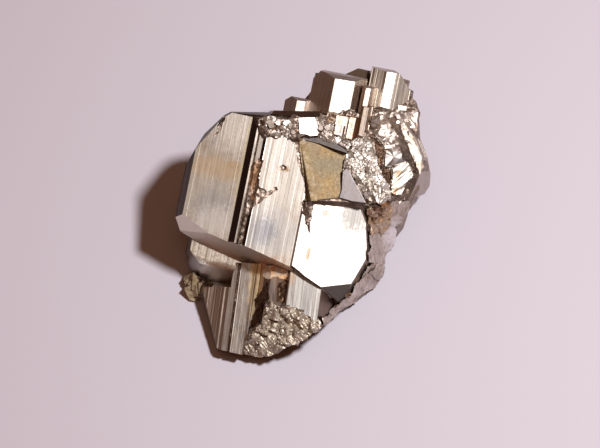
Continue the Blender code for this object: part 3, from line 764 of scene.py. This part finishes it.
blocks = {
    "oliveCrystal": dict(
        outline=[(2.5, 3.8), (6.1, 4.2), (6.6, 5.4), (6.7, 8.3), (7.4, 11.4), (5.8, 12.1),
            (3.2, 13), (0.4, 13.4), (1.3, 10.2), (2, 7)],
        point=(1.75, 3.7, 0.6), normal=(0.1, 0.3, 0.95), depth=5, spread=2.4,
        finish="oliveTarnish",
        look=dict(
            silver, metal=(0.3, 0.235, 0.15), tarnishColour=(0.36, 0.25, 0.12), tarnish=0.9,
            fleckColour=(0.36, 0.33, 0.27), blue=0, lines=0, specks=0.6, rough=0.62, dust=2,
            wallFrom=0.9, paintedWallColour=(0.16, 0.09, 0.05), paintedWallPale=(0.24, 0.16, 0.1),
            patches=[
                patch((2.6, 10.2, 0), (3.4, 1.4, 9), (0.25, 0.22, 0.16), 0.7, 1.6),
                patch((5, 2.7, 0), (3.6, 0.5, 9), (0.46, 0.33, 0.18), 0.7, 1.6)])),
    "paleFacet": dict(
        outline=[(6.2, 4.2), (6.6, 5.4), (6.8, 8.5), (7.4, 8.9), (7.9, 8.5), (8.6, 7), (9.6, 5.3),
            (10.6, 3.3), (8.3, 3.6)],
        point=(6.3, 4.3, 0.05), normal=(-0.02, 0.12, 0.99), depth=5, spread=0.6,
        finish="paleSilver",
        look=dict(
            silver, metal=(0.36, 0.34, 0.36), fleckColour=(0.46, 0.44, 0.46), tarnish=0.3,
            lines=0.2, rough=0.5)),
    "blueStrip": dict(
        outline=[(0, 13.7), (0.5, 14.3), (1.8, 14.2), (3.5, 13.8), (5.6, 13.1), (7.5, 11.8),
            (7.5, 11.4), (5.6, 12), (3.2, 12.9)],
        point=(0, 13.6, -2.35), normal=(0.02, 0.55, 0.83), depth=4, spread=0.6,
        finish="blueTarnish",
        look=dict(silver, metal=(0.36, 0.36, 0.38), blue=0.8, rough=0.6, wall=0.4)),
    "whiteBlock": dict(
        outline=[(-0.3, 17.1), (2.4, 17.2), (3, 15.7), (3, 14.6), (2.8, 13.7), (1.8, 13.9),
            (1.1, 14.3), (-0.1, 14.5)],
        point=(0, 14.2, -2.2), normal=(0.16, 0.12, 0.98), depth=6, spread=0.1,
        finish="whiteSilver",
        look=dict(silver, metal=(0.7, 0.66, 0.66), tarnish=0.1, blue=0.1, lines=0.1, specks=0.1)),
    "whiteSide": dict(
        outline=[(-1.6, 17), (-0.4, 17.2), (-0.2, 14.4), (0.3, 13.8), (-0.6, 13.6), (-1.3, 15)],
        point=(0, 14.2, -2.6), normal=(-0.5, 0.05, 0.86), depth=5, spread=0.3, finish="dullSide",
        look=dict(silver, metal=(0.2, 0.13, 0.1), tarnish=0.6, rough=0.5, wallFrom=0.7)),
    "ledgeBlock": dict(
        outline=[(-4.6, 17.7), (-0.6, 17.2), (3.3, 17.3), (3.2, 18.1), (-4.2, 18.3)],
        point=(-4.6, 17.7, -4.6), normal=(-0.1, 0.75, 0.65), depth=9, spread=0.8,
        finish="ledgeSilver", look=dict(silver, metal=(0.2, 0.13, 0.1)))}

# The crest's short prisms: profile, where each ends below and above, how far back it reaches,
# and the slope of its lower end.
crest = {
    "leftPrism": ([(-6.3, -7, 0.012), (-4.35, -5.2), (-3.05, -5.3, 0.012), (-0.8, -7.4),
        (-0.8, -26), (-6.3, -26)], 12, 21, 23.8, 6),
    "middlePrism": ([(-2.5, -6.2, 0.012), (0.95, -3.2, 0.03), (4.3, -3.5, 0.012), (6.15, -6, 0.03),
        (5.5, -32), (-2.5, -32)], 18.5, 25.4, 28.9, 6),
    "sliverPrism": ([(5.6, -3.9, 0.02), (6.15, -2.4), (6.9, -2.5, 0.02), (8, -5), (8, -30),
        (5.6, -30)], 16.3, 24.2, 27, 30),
    "sliverFoot": ([(6, -1.9, 0.02), (6.4, -0.8), (7.2, -1.1, -0.2), (8, -3), (8, -20), (6, -20)],
        16.2, 20.8, 26, 35),
    "wedgePrism": ([(2.3, -9.9, 0.012), (5.95, -8.3), (6.5, -9.2), (6.5, -24), (2.3, -24)], 20,
        28.1, 31.6, 6),
    "rightPrism": ([(6.5, -6.6, -0.28), (9, -4.6, 0.02), (10.5, -4.8, 0.05), (13.3, -6.3, 0.04),
        (13.4, -8), (13.2, -34), (6.5, -34)], 22.1, 27.9, 31.2, 20),
    "cornerPrism": ([(11.4, -6.6), (11.9, -5.2, 0.02), (13.2, -5.4, 0.03), (13.9, -7), (13.8, -28),
        (11.4, -28)], 21.7, 23, 29.2, 20),
    "tanFoot": ([(-0.2, -2.8, 0.03), (0.9, -1, 0.05), (2.4, -0.6, -0.3), (4.3, -0.9), (4.5, -2.2),
        (4.4, -14), (-0.2, -14)], 15, 18.6, 24, 12),
    "streakFoot": ([(4.2, -1.6), (4.5, -0.4, -0.25), (5.5, -0.5), (6.2, -2, 0.02), (6.1, -14),
        (4.2, -14)], 15.2, 18.7, 24, 10),
    "smallFoot": ([(2.2, -0.6), (2.5, 0.05, 0.05), (3.8, -0.1, 0.05), (4.1, -0.8), (4.1, -10),
        (2.2, -10)], 15.4, 16.9, 22, 8)}
# Corners taken off their upper ends: a place on the front, and which way the cut faces.
crestCuts = {
    "rightPrism": [((11.3, 27.9, 0), (0.7, 0.71, 0))],
    "wedgePrism": [((2.6, 27.2, 0), (-0.55, 0.83, 0))],
    "middlePrism": [((-2.45, 24.9, 0), (-0.8, 0.6, 0)), ((2.6, 24.9, -3.3), (0, 0.82, 0.57))],
    "leftPrism": [((-3.7, 20.5, -5.2), (0, 0.82, 0.57))]}
crestShape = {
    "spare": 2, "lineWidth": 0.35, "slope": 17, "rim": 0.05, "rimSlope": 1.6, "backTurn": 0.12,
}
# How their backs are cut: how far before their reach, at which height, and how steeply.
crestBacks = [(0.9, 20, 0.28), (1.74, 17, 0.9)]
crestLook = dict(
    silver, metal=(0.43, 0.41, 0.37), tarnish=0.6, blue=0.5, specks=0.6, lines=0.6,
    # wall colours lifted: painted light on the walls
    paintedWallColour=(0.35, 0.29, 0.26), paintedWallPale=(0.6, 0.53, 0.48),
    # painted light on faces turned a little right or left
    sides=[
        side((0.5, 0, 0.85), 0.97, (0.62, 0.56, 0.5)),
        side((-0.6, 0, 0.77), 0.985, (0.6, 0.55, 0.48))],
    # painted light on the right prism's left face
    stainsAndPaintedShading=[patch((7.7, 25, -8), (1.3, 4, 6), (0.72, 0.66, 0.59), 0.85, 0.5)])
tanLook = dict(
    crestLook, metal=(0.34, 0.29, 0.25), tarnishColour=(0.3, 0.18, 0.11), tarnish=0.9, specks=0.7,
    # wall colours lifted: painted light on the walls
    paintedWallColour=(0.34, 0.2, 0.12), paintedWallPale=(0.44, 0.33, 0.25))


def makeCrest():
    finish = crystalFinish("crestSilver", crestLook, **growth)
    tan = crystalFinish("tanSilver", tanLook, **growth)
    axes = growthMatrix(**growth)
    along, out = axes.col[1].to_3d(), axes.col[2].to_3d()
    slope = math.radians(crestShape["slope"])
    spare = crestShape["spare"]
    for i, (name, (profile, low, high, back, under)) in enumerate(crest.items()):
        obj = prism(name, profile, low - spare, high + spare, **growth, seed=20 + i,
                    width=crestShape["lineWidth"])
        front = out * max(corner[1] for corner in profile)
        sliceOff(obj, along * high + front, along * math.cos(slope) + out * math.sin(slope))
        rim = along * (high - crestShape["rim"]) + front
        sliceOff(obj, rim, along + out * crestShape["rimSlope"])
        under = math.radians(under)
        sliceOff(obj, along * low + front, -along * math.cos(under) + out * math.sin(under))
        for corner in crestCuts.get(name, []):
            sliceOff(obj, *(axes @ Vector(part) for part in corner))
        for before, height, steep in crestBacks:
            sliceOff(obj, fromGround(0, back - before, height),
                     backward + Vector((crestShape["backTurn"], 0, 0)) - upward * steep)
        finishPiece(obj, tan if "Foot" in name or name == "sliverPrism" else finish)


rock = {
    "voxel": 0.3, "sink": 0.25, "lumps": (0.25, 1.6), "grit": (0.12, 0.5), "facets": 0.3,
}
rockHollow = ([(-18.2, -6.1), (-10.7, -5), (-10.3, -7), (-10.6, -8), (-10.9, -10.4),
    (-13.3, -10.3), (-15, -10.2), (-16, -9)], ((-13, -10.4, -6.4), (0.05, 0.98, 0.17)))
bronze = dict(
    dark=(0.2, 0.14, 0.11), pale=(0.4, 0.33, 0.29), bright=(0.56, 0.5, 0.44), shine=0.4,
    rust=(0.32, 0.15, 0.06), rustFrom=0.58, rough=0.5, metallic=1, grain=2.4, turn=0.4,
    cells=(0.3, 1), creaseColour=(0.09, 0.06, 0.045),
    patches=[patch((-8.8, 6.2, -1), (0.9, 2.4, 4), (0.4, 0.23, 0.12), 0.75, 1.4, rough=0.7)],
    shadeNoise=(0.35, 5), shadeMask=(0.35, 0.65), rustNoise=(0.6, 6, 0.75), creaseWide=0.14,
    shineMask=(0.3, 1), rustSoft=0.08, bend=0.9, bendNoise=(3, 0.5), rustRough=0.85, rustMetal=0.1)
grounds = {
    "foil": dict(
        bronze, dark=(0.9, 0.87, 0.81), pale=(0.97, 0.94, 0.9), bright=(0.98, 0.96, 0.94),
        shine=0.7, grain=3.2, turn=0.26, rustFrom=0.68, cells=(0.6, 1.5)),
    "dusk": dict(
        bronze, dark=(0.6, 0.53, 0.49), pale=(0.95, 0.9, 0.86), grain=3.2, turn=0.4,
        cells=(0.7, 1.3)),
    "tan": dict(
        bronze, dark=(0.44, 0.33, 0.26), pale=(0.66, 0.57, 0.49), cells=(0.4, 1),
        rust=(0.45, 0.22, 0.09), rustFrom=0.56, grain=2.4, turn=0.3),
    "mauve": dict(
        bronze, dark=(0.56, 0.48, 0.44), pale=(0.76, 0.69, 0.64), grain=1.4, turn=0.2,
        rustFrom=0.64, cells=(0.5, 0.7)),
    # painted shade: a near-black ground laid in clefts and gaps
    "cleftShade": dict(
        bronze, dark=(0.06, 0.035, 0.025), pale=(0.16, 0.1, 0.07), bright=(0.3, 0.2, 0.12),
        shine=0.3, grain=2, turn=0.4),
    "blueShell": dict(
        bronze, dark=(0.28, 0.25, 0.24), pale=(0.44, 0.42, 0.42), grain=0.8, turn=0.25,
        rustFrom=0.7),
    "shell": dict(
        bronze, dark=(0.84, 0.8, 0.73), pale=(0.98, 0.96, 0.92), bright=(0.95, 0.93, 0.9),
        grain=0.7, turn=0.08, rustFrom=0.7, rough=0.45,
        patches=[patch((14, 10.6, -5), (0.5, 3, 12), (0.6, 0.42, 0.26), 0.8)]),
    "bronze": dict(
        bronze, dark=(0.5, 0.43, 0.35), pale=(0.86, 0.8, 0.7), shine=0.5, grain=3.4, turn=0.2,
        rough=0.58, rustFrom=0.64, cells=(0.35, 1.6)),
    # rust, with its colours raised towards white: partly real rust, partly painted light, as it
    # lies in the main crystal's shade
    "rustCap": dict(
        bronze, dark=(0.95, 0.74, 0.52), pale=(1, 0.93, 0.82), rust=(0.95, 0.54, 0.26),
        rustFrom=0.46, metallic=0.1, rough=0.65, grain=2.4, turn=0.2),
    "olive": dict(
        bronze, dark=(0.24, 0.16, 0.08), pale=(0.44, 0.33, 0.18), rust=(0.5, 0.4, 0.22),
        rustFrom=0.5, metallic=0.5, rough=0.6, grain=1.6, turn=0.1),
    "rusty": dict(
        bronze, dark=(0.5, 0.34, 0.22), pale=(0.72, 0.58, 0.44), rust=(0.6, 0.37, 0.2),
        rustFrom=0.54, grain=2.4, turn=0.3),
    "earth": dict(
        bronze, dark=(0.26, 0.18, 0.1), pale=(0.46, 0.38, 0.26), grain=2, turn=0.2, rustFrom=0.5,
        rust=(0.34, 0.25, 0.14), rough=0.7, metallic=0.4),
    "wall": dict(
        bronze, dark=(0.54, 0.45, 0.4), pale=(0.76, 0.68, 0.62), grain=1.6, turn=0.2,
        rustFrom=0.66, cells=(0.3, 0.6),
        patches=[
            # painted light on the upper part of the right wall
            patch((15.4, 2.6, -8), (1.5, 2, 12), (0.97, 0.93, 0.95), 0.8, 2.4, grain=1.6),
            patch((14, -4.6, -8), (3, 1.3, 12), (0.38, 0.31, 0.27), 0.6, 1.5),
            patch((14, -4.8, -8), (3, 0.16, 12), (0.14, 0.1, 0.09), 0.7),
            patch((12.6, 5, -5), (1, 2.2, 12), (0.55, 0.3, 0.14), 0.8, 2, grain=1.5)])}


def copySolid(name):
    pickOnly(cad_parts["crystal_group"])
    bpy.ops.object.duplicate()
    obj = named(name)
    for key in list(obj.keys()):
        del obj[key]
    obj.parent = None
    openMesh(obj)
    bpy.ops.mesh.remove_doubles(threshold=1e-6)
    bpy.ops.object.mode_set(mode="OBJECT")
    keepTurn(obj, lieMatrix().inverted())
    return obj


def makeRock():
    obj = copySolid("rockBody")
    carve(obj, *rockHollow, **growth, seed=60)
    modify(obj, "REMESH", mode="VOXEL", voxel_size=rock["voxel"] * mm)
    modify(obj, "DISPLACE", direction="NORMAL", mid_level=0.0, strength=-rock["sink"] * mm)
    bumpOut(obj, "CLOUDS", *rock["lumps"], middle=0.6)
    bumpOut(obj, "VORONOI", *rock["grit"], middle=0.6)
    modify(obj, "DECIMATE", ratio=rock["facets"])
    finishPiece(obj, rockFinish("brokenBronze", bronze))


def trimSheet(obj):
    # drops loose ends, and points where two corners only touch, so that a skin closes cleanly
    openMesh(obj)
    bpy.ops.mesh.select_mode(type="VERT")
    for _ in range(3):
        bpy.ops.mesh.select_all(action="SELECT")
        bpy.ops.mesh.delete_loose()
        bpy.ops.mesh.select_all(action="DESELECT")
        bpy.ops.mesh.select_non_manifold(use_boundary=False)
        bpy.ops.mesh.delete(type="VERT")
    bpy.ops.object.mode_set(mode="OBJECT")


def makeCover(name, outline, finish, seed, spacing=0.14, lift=0.05, lumps=None, grit=None,
              ripple=None, facets=1, smooth=False, edge=0.25):
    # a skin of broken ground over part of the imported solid, fitted from the front. Lumps and
    # grit have a height and a size
    outline = ragged(outline, coverStep, edge, random.Random(seed))
    xs, ys = [x for x, y in outline], [y for x, y in outline]
    wide, high = max(xs) - min(xs), max(ys) - min(ys)
    bpy.ops.object.select_all(action="DESELECT")
    bpy.ops.mesh.primitive_grid_add(
        x_subdivisions=int(wide / spacing), y_subdivisions=int(high / spacing), size=mm,
        location=((max(xs) + min(xs)) / 2 * mm, (max(ys) + min(ys)) / 2 * mm, overhead * mm))
    obj = named(name)
    obj.scale = (wide, high, 1)
    bpy.ops.object.transform_apply(location=True, rotation=True, scale=True)
    modify(obj, "SHRINKWRAP", target=ground, wrap_method="PROJECT", use_project_z=True,
           use_negative_direction=True, use_positive_direction=False)
    openMesh(obj)
    bpy.ops.mesh.select_mode(type="VERT")
    bpy.ops.mesh.select_all(action="DESELECT")
    bpy.ops.object.mode_set(mode="OBJECT")
    for corner in obj.data.vertices:
        x, y, z = (part / mm for part in corner.co)
        corner.select = not inside(outline, x, y) or z > missed
    bpy.ops.object.mode_set(mode="EDIT")
    bpy.ops.mesh.delete(type="VERT")
    bpy.ops.object.mode_set(mode="OBJECT")
    trimSheet(obj)
    if lift:
        modify(obj, "DISPLACE", direction="NORMAL", mid_level=0.0, strength=lift * mm)
    if lumps:
        bumpOut(obj, "CLOUDS", *lumps, middle=0.5)
    if grit:
        bumpOut(obj, "VORONOI", *grit, middle=0.5, weight_1=-1.0, weight_2=1.0,
                noise_intensity=2.5)
    if ripple:
        rippleOut(obj, *ripple)
    if facets < 1:
        modify(obj, "DECIMATE", ratio=facets)
        trimSheet(obj)
    extrude(obj, 0, 0, -skinDepth)
    closeMesh()
    if smooth:
        pickOnly(obj)
        bpy.ops.object.shade_smooth_by_angle(angle=math.radians(40))
    finishPiece(obj, groundFinishes[finish])


covers = {
    "foilPatch": dict(finish="foil", spacing=0.1, lift=0.12, lumps=(0.15, 0.8), grit=(0.08, 0.4),
        facets=0.5, outline=[(7.2, 12.6), (8.2, 13.4), (9.1, 13.8), (10.4, 14.1), (11.4, 13.1),
        (12.2, 11.8), (12.5, 9.8), (13.4, 7.5), (14.4, 5.8), (14.6, 3.8), (12.8, 3.2), (10.9, 3.1),
        (9.8, 4.5), (8.9, 6.4), (8, 8), (6.9, 8.2), (7, 9.6), (7.4, 11.2)]),
    "platesPatch": dict(finish="dusk", spacing=0.12, lift=-0.1, lumps=(0.25, 0.8),
        grit=(0.14, 0.5), facets=0.4, outline=[(-7, 16.8), (-5.6, 17.2), (-3.2, 17.3),
        (-1.3, 17.1), (-0.6, 16), (-0.5, 14.4), (-0.3, 13.3), (-1.4, 13.6), (-2.6, 13.9),
        (-3.7, 13.7), (-5.1, 14.1), (-5.8, 15), (-6.6, 16)]),
    "whiteBits": dict(finish="dusk", lumps=(0.25, 1), grit=(0.12, 0.5), outline=[(2.4, 17.3),
        (4.2, 17.6), (5.4, 16.6), (5.8, 15.5), (7.4, 14.4), (8, 13), (7.2, 12), (5.4, 13),
        (3.2, 13.6), (3, 15.4)]),
    "tanGround": dict(finish="tan", spacing=0.15, lift=-0.3, lumps=(0.3, 1), grit=(0.1, 0.6),
        facets=0.3, outline=[(4, 17.9), (9.9, 18.6), (11.8, 19.2), (12.3, 17.9), (11.5, 15.4),
        (10.6, 13.8), (9.1, 13.6), (8, 12.8), (6.7, 14.2), (5.1, 16)]),
    "mauveGround": dict(finish="mauve", spacing=0.16, lift=-0.05, lumps=(0.4, 1.1),
        grit=(0.12, 0.6), facets=0.14, outline=[(12.3, 18.4), (14.7, 18.2), (17.4, 18.2),
        (18.9, 18.4), (19.2, 17.1), (18.6, 15.4), (17.4, 15.4), (17.9, 13.3), (18.6, 10.9),
        (18.6, 9.1), (17.4, 9.9), (16.5, 11.4), (15.4, 11.5), (13.8, 12), (12.8, 13.4),
        (11.5, 14.7), (11.4, 16.6)]),
    "darkCleft": dict(finish="cleftShade", spacing=0.16, lift=0, lumps=(0.2, 1), grit=(0.08, 0.4),
        outline=[(11.8, 13.4), (12.8, 13.4), (13.8, 11.8), (13.4, 10.2), (13.8, 9), (15, 8.3),
        (14.7, 6.1), (14.6, 4.8), (13.6, 6.4), (12.6, 8.6), (12.3, 11)]),
    "blueFacets": dict(finish="blueShell", spacing=0.2, lift=0.15, lumps=(0.6, 1.6), facets=0.08,
        outline=[(13.8, 11.5), (15.4, 12.2), (16.6, 11.5), (17.4, 10.2), (17, 9.3), (15.4, 9.3),
        (14.1, 8.6), (13.4, 9.9)]),
    "shellFace": dict(finish="shell", spacing=0.12, lift=0.15, ripple=(0.55, 0.9, 38), smooth=True,
        edge=0.1, outline=[(14.9, 9), (16.3, 9.8), (17.4, 9.9), (18.4, 8.5), (18.1, 7.5),
        (17.4, 7), (17, 6.1), (16.3, 4.6), (14.7, 4.6), (14.6, 6.1), (14.9, 7.4)]),
    "bronzeEnd": dict(finish="bronze", spacing=0.1, lumps=(0.2, 0.7), grit=(0.08, 0.28),
        ripple=(0.35, 0.35, -55), facets=0.5, outline=[(-9.1, -21.4), (-9.1, -19.5), *brokenEdge,
        (3.5, -16.6), (0.8, -18.6), (-2.4, -20), (-6.1, -21.6)]),
    "footBits": dict(finish="earth", lift=0, lumps=(0.4, 1.2), grit=(0.08, 0.5), facets=0.25,
        outline=[(-19.2, -9.8), (-18.7, -8.3), (-17.6, -7.4), (-16.2, -8.5), (-15, -9.9),
        (-15.2, -12.2), (-16.3, -13.1), (-17.9, -12.5), (-19.2, -11.7)]),
    "tanWall": dict(finish="wall", spacing=0.12, lift=0.1, lumps=(0.3, 1.6), grit=(0.05, 0.5),
        ripple=(0.25, 0.45, 78), facets=0.2, outline=[(10.9, 2.9), (11.5, 3.1), (12.8, 3.3),
        (14.6, 3.6), (17.8, 3.8), (17.6, 2.2), (16.5, 0.3), (15.4, -0.3), (15.8, -1.3),
        (15.4, -3.4), (14.6, -5.4), (14.1, -6.7), (12.2, -7), (10.9, -6.1), (11, -2.6)]),
    "roughWall": dict(finish="wall", lift=0.3, lumps=(0.7, 1.3), grit=(0.12, 0.5), facets=0.2,
        outline=[(13.8, -6.1), (14.6, -5.4), (14.2, -8.5), (12.6, -9.9), (9.4, -11.8),
        (7.2, -13.3), (5.8, -14.7), (3.8, -16.6), (3.5, -15), (5.3, -13.1), (7.2, -11.7),
        (9, -9.4), (10.9, -7.4), (12.5, -6.1)]),
    "fibres": dict(finish="rusty", spacing=0.1, lift=0.35, lumps=(0.2, 1.2), grit=(0.08, 0.3),
        ripple=(0.5, 0.35, 84), facets=0.4, outline=[(10.7, 2.7), (12.2, 3.2), (13.8, 3.2),
        (14.7, 2.9), (14.6, 1.4), (14.1, -0.6), (13.4, -1.6), (12.2, -1.4), (11, -1.9),
        (10.7, 0.3)]),
    "crumbs": dict(finish="tan", spacing=0.12, lift=0.25, lumps=(0.5, 1), grit=(0.12, 0.4),
        facets=0.3, outline=[(10.6, -6.7), (11.8, -6.1), (13.4, -6.4), (13.9, -7.7), (13.1, -9),
        (11.5, -9.6), (9.9, -9.3), (9.9, -8)]),
    "rustCap": dict(finish="rustCap", spacing=0.12, lift=0.12, lumps=(0.15, 0.9), grit=(0.06, 0.4),
        facets=0.3, outline=[(-5.9, -6.7), (-4.5, -6.6), (-3.2, -7), (-1.8, -7.5), (-1.7, -8.5),
        (-2.6, -8.9), (-3.7, -8.5), (-4.8, -9), (-5.8, -8.6)]),
    "oliveSide": dict(finish="olive", spacing=0.12, lift=0.08, lumps=(0.1, 1.2), smooth=True,
        edge=0.06, outline=[(-0.2, 13.6), (1, 13.3), (1.8, 10.2), (2.4, 7), (2.9, 3.6), (0.6, 3.6),
        (1, 5.4), (0.6, 7.4), (0.1, 10.2), (-0.2, 12.2)]),
    "underGap": dict(finish="cleftShade", spacing=0.12, lift=0.1, lumps=(0.2, 0.9), grit=(0.05, 0.4),
        edge=0.12, outline=[(-16.6, -8.2), (-15, -9), (-13.9, -9.6), (-13.9, -10.2),
        (-15.2, -10.2), (-16.5, -9.6)]),
    "leftGap": dict(finish="cleftShade", lift=-0.08, lumps=(0.3, 1), grit=(0.08, 0.4), facets=0.4,
        outline=[(-7.4, -12.2), (-6.6, -10.4), (-6.1, -9.4), (-5.3, -9.4), (-5.1, -12.2),
        (-5.8, -12.8), (-6.1, -14.7), (-7.2, -16.6), (-8.2, -16.5), (-7.4, -14.2)]),
    "middleGap": dict(finish="cleftShade", lift=-0.08, lumps=(0.3, 1), grit=(0.08, 0.4), facets=0.4,
        outline=[(-3.8, -9.9), (-2.9, -8.9), (-1.8, -9), (-1.9, -10.7), (-2.2, -12.6),
        (-3.7, -12.5)])}


chipShape = {
    "size": (0.5, 1.3), "turn": (0, 6), "corners": (4, 6), "reach": (0.7, 1.1),
    "height": (-0.1, 0.2),
}


def makeScatter(name, outline, finish, seed, count, size, lift=0.15, normal=(0.08, 0.12, 1),
                tilt=0.35):
    # small broken plates strewn over an area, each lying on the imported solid
    rng = random.Random(seed)
    xs, ys = [x for x, y in outline], [y for x, y in outline]
    made = []
    while len(made) < count:
        x, y = rng.uniform(min(xs), max(xs)), rng.uniform(min(ys), max(ys))
        hit, place, _, _ = ground.ray_cast(Vector((x, y, overhead)) * mm, Vector((0, 0, -1)))
        if not hit or not inside(outline, x, y):
            continue
        wide, turn = size * rng.uniform(*chipShape["size"]), rng.uniform(*chipShape["turn"])
        corners = rng.randint(*chipShape["corners"])
        shape = []
        for i in range(corners):
            angle = turn + (i + rng.uniform(-uneven, uneven)) * 2 * math.pi / corners
            reach = wide * rng.uniform(*chipShape["reach"])
            shape.append((x + math.cos(angle) * reach, y + math.sin(angle) * reach))
        nx, ny, nz = normal
        facing = (nx + rng.uniform(-tilt, tilt), ny + rng.uniform(-tilt, tilt), nz)
        height = place.z / mm + lift + rng.uniform(*chipShape["height"])
        made.append(flatShape("chip", shape, (x, y, height), facing))
    pickOnly(made[0])
    for chip in made:
        chip.select_set(True)
    bpy.ops.object.join()
    obj = named(name)
    extrude(obj, 0, 0, -chipDepth)
    closeMesh()
    finishPiece(obj, chipFinishes[finish])


chipLook = dict(silver, wall=0, lines=0)
chipLooks = {
    "chipSilver": dict(chipLook, metal=(0.62, 0.57, 0.53), blue=0.2),
    "chipBrown": dict(
        chipLook, metal=(0.44, 0.34, 0.26), tarnishColour=(0.42, 0.24, 0.12), blue=0),
}
# Loose broken plates: where, how many, how large.
scatters = {
    "whiteChips": dict(finish="chipSilver", count=16, size=0.62, outline=[(2.6, 17), (4.2, 17.4),
        (5.3, 16.6), (5.8, 15.4), (7, 14.1), (7.4, 12.8), (5.4, 13.1), (3.4, 13.9)]),
    "plateChips": dict(finish="chipSilver", count=14, size=0.5,
        outline=[(-6.1, 17), (-1.6, 17), (-1, 14.7), (-2.6, 14.4), (-5.1, 14.7)]),
    "foilChips": dict(finish="chipSilver", count=18, size=0.4, lift=0.2,
        outline=[(8, 12.5), (10.2, 13.4), (11.8, 11.2), (13.8, 5.4), (11.5, 3.8), (9.3, 7.7)]),
    "wallChips": dict(finish="chipSilver", count=18, size=0.45, normal=(0.4, 0.1, 1),
        outline=[(10.7, 2.6), (12.6, 2.9), (12.8, -1), (11.2, -1.3)]),
    "knobChips": dict(finish="chipSilver", count=5, size=0.55, lift=0.3,
        outline=[(15.7, 16.8), (17.3, 16.6), (17.3, 15), (16, 15.2)]),
    "footChips": dict(finish="chipBrown", count=6, size=0.55,
        outline=[(3.8, 18.2), (5.4, 17.9), (5.8, 16.3), (4.3, 16.6)]),
    "rimChips": dict(finish="chipBrown", count=10, size=0.45, normal=(0.6, -0.3, 1),
        outline=[(10.9, -6.1), (14.1, -6.1), (13.4, -9), (9.6, -11.5), (7.7, -12.6), (7.2, -11.7),
        (9.9, -9)])}
lights = {
    "softbox": {"toward": (0.48, -0.07, 1), "away": 0.36, "size": 0.046, "energy": 1.4,
        "colour": (1, 0.96, 0.93)},
    "fill": {"toward": (-0.1, -0.235, 0.967), "away": 0.7, "size": 0.26, "energy": 0.13,
        "colour": (1, 0.88, 0.75)}}
camera = {"lens": 300, "away": 0.8, "nearest": 0.01}
paleFloor = {"size": 3.0, "colour": (0.64, 0.61, 0.71), "rough": 0.85}
roomLight = (0.14, 0.056, 0.024)


def makeFloorAndLights():
    bpy.ops.object.select_all(action="DESELECT")
    bpy.ops.mesh.primitive_plane_add(size=paleFloor["size"])
    floor = named("floor")
    made, tree, shader = newMaterial("paleFloor")
    feed(tree, shader, {"Base Color": paleFloor["colour"], "Roughness": paleFloor["rough"]})
    floor.data.materials.append(made)
    place = lieMatrix()
    centre, turn = place.to_translation(), place.to_3x3()
    eye = bpy.data.objects.new("camera", bpy.data.cameras.new("camera"))
    bpy.context.scene.collection.objects.link(eye)
    eye.data.lens = camera["lens"]
    eye.data.clip_start = camera["nearest"]
    eye.location = centre + turn @ Vector((0, 0, 1)) * camera["away"]
    eye.rotation_euler = turn.to_euler()
    bpy.context.scene.camera = eye
    for name, light in lights.items():
        bpy.ops.object.light_add(type="AREA")
        lamp = bpy.context.active_object
        lamp.name = name
        lamp.data.shape = "DISK"
        lamp.data.size = light["size"]
        lamp.data.energy = light["energy"]
        lamp.data.color = light["colour"]
        aim = Vector(light["toward"]).normalized()
        lamp.location = centre + aim * light["away"]
        lamp.rotation_euler = aim.to_track_quat("Z", "Y").to_euler()
    world = bpy.data.worlds.new("room")
    bpy.context.scene.world = world
    world.use_nodes = True
    feed(world.node_tree, world.node_tree.nodes["Background"], {"Color": roomLight})
    bpy.context.scene.cycles.caustics_reflective = False
    bpy.context.scene.view_settings.view_transform = "Standard"


makeFloorAndLights()
print("floor, camera and lights are in")
ground = copySolid("ground")
makeRock()
print("rock is in")
makeCrystal("mainCrystal", **mainCrystal)
print("main crystal is in")
makeCrystal("brightCrystal", **brightCrystal)
makeCrystal("underCrystal", **underCrystal)
makeCrystal("lowerCrystal", **lowerCrystal)
print("large crystals are in")
for name, shape in blocks.items():
    makeBlock(name, **shape)
makeCrest()
makeCrystal("sideCrystal", **sideCrystal)
print("small crystals are in")
groundFinishes = {name: rockFinish(name + "Ground", look) for name, look in grounds.items()}
for i, (name, shape) in enumerate(covers.items()):
    makeCover(name, seed=50 + i, **shape)
chipFinishes = {name: crystalFinish(name, look, **growth) for name, look in chipLooks.items()}
for i, (name, shape) in enumerate(scatters.items()):
    makeScatter(name, seed=80 + i, **shape)
bpy.data.objects.remove(ground)
print("broken ground is in")
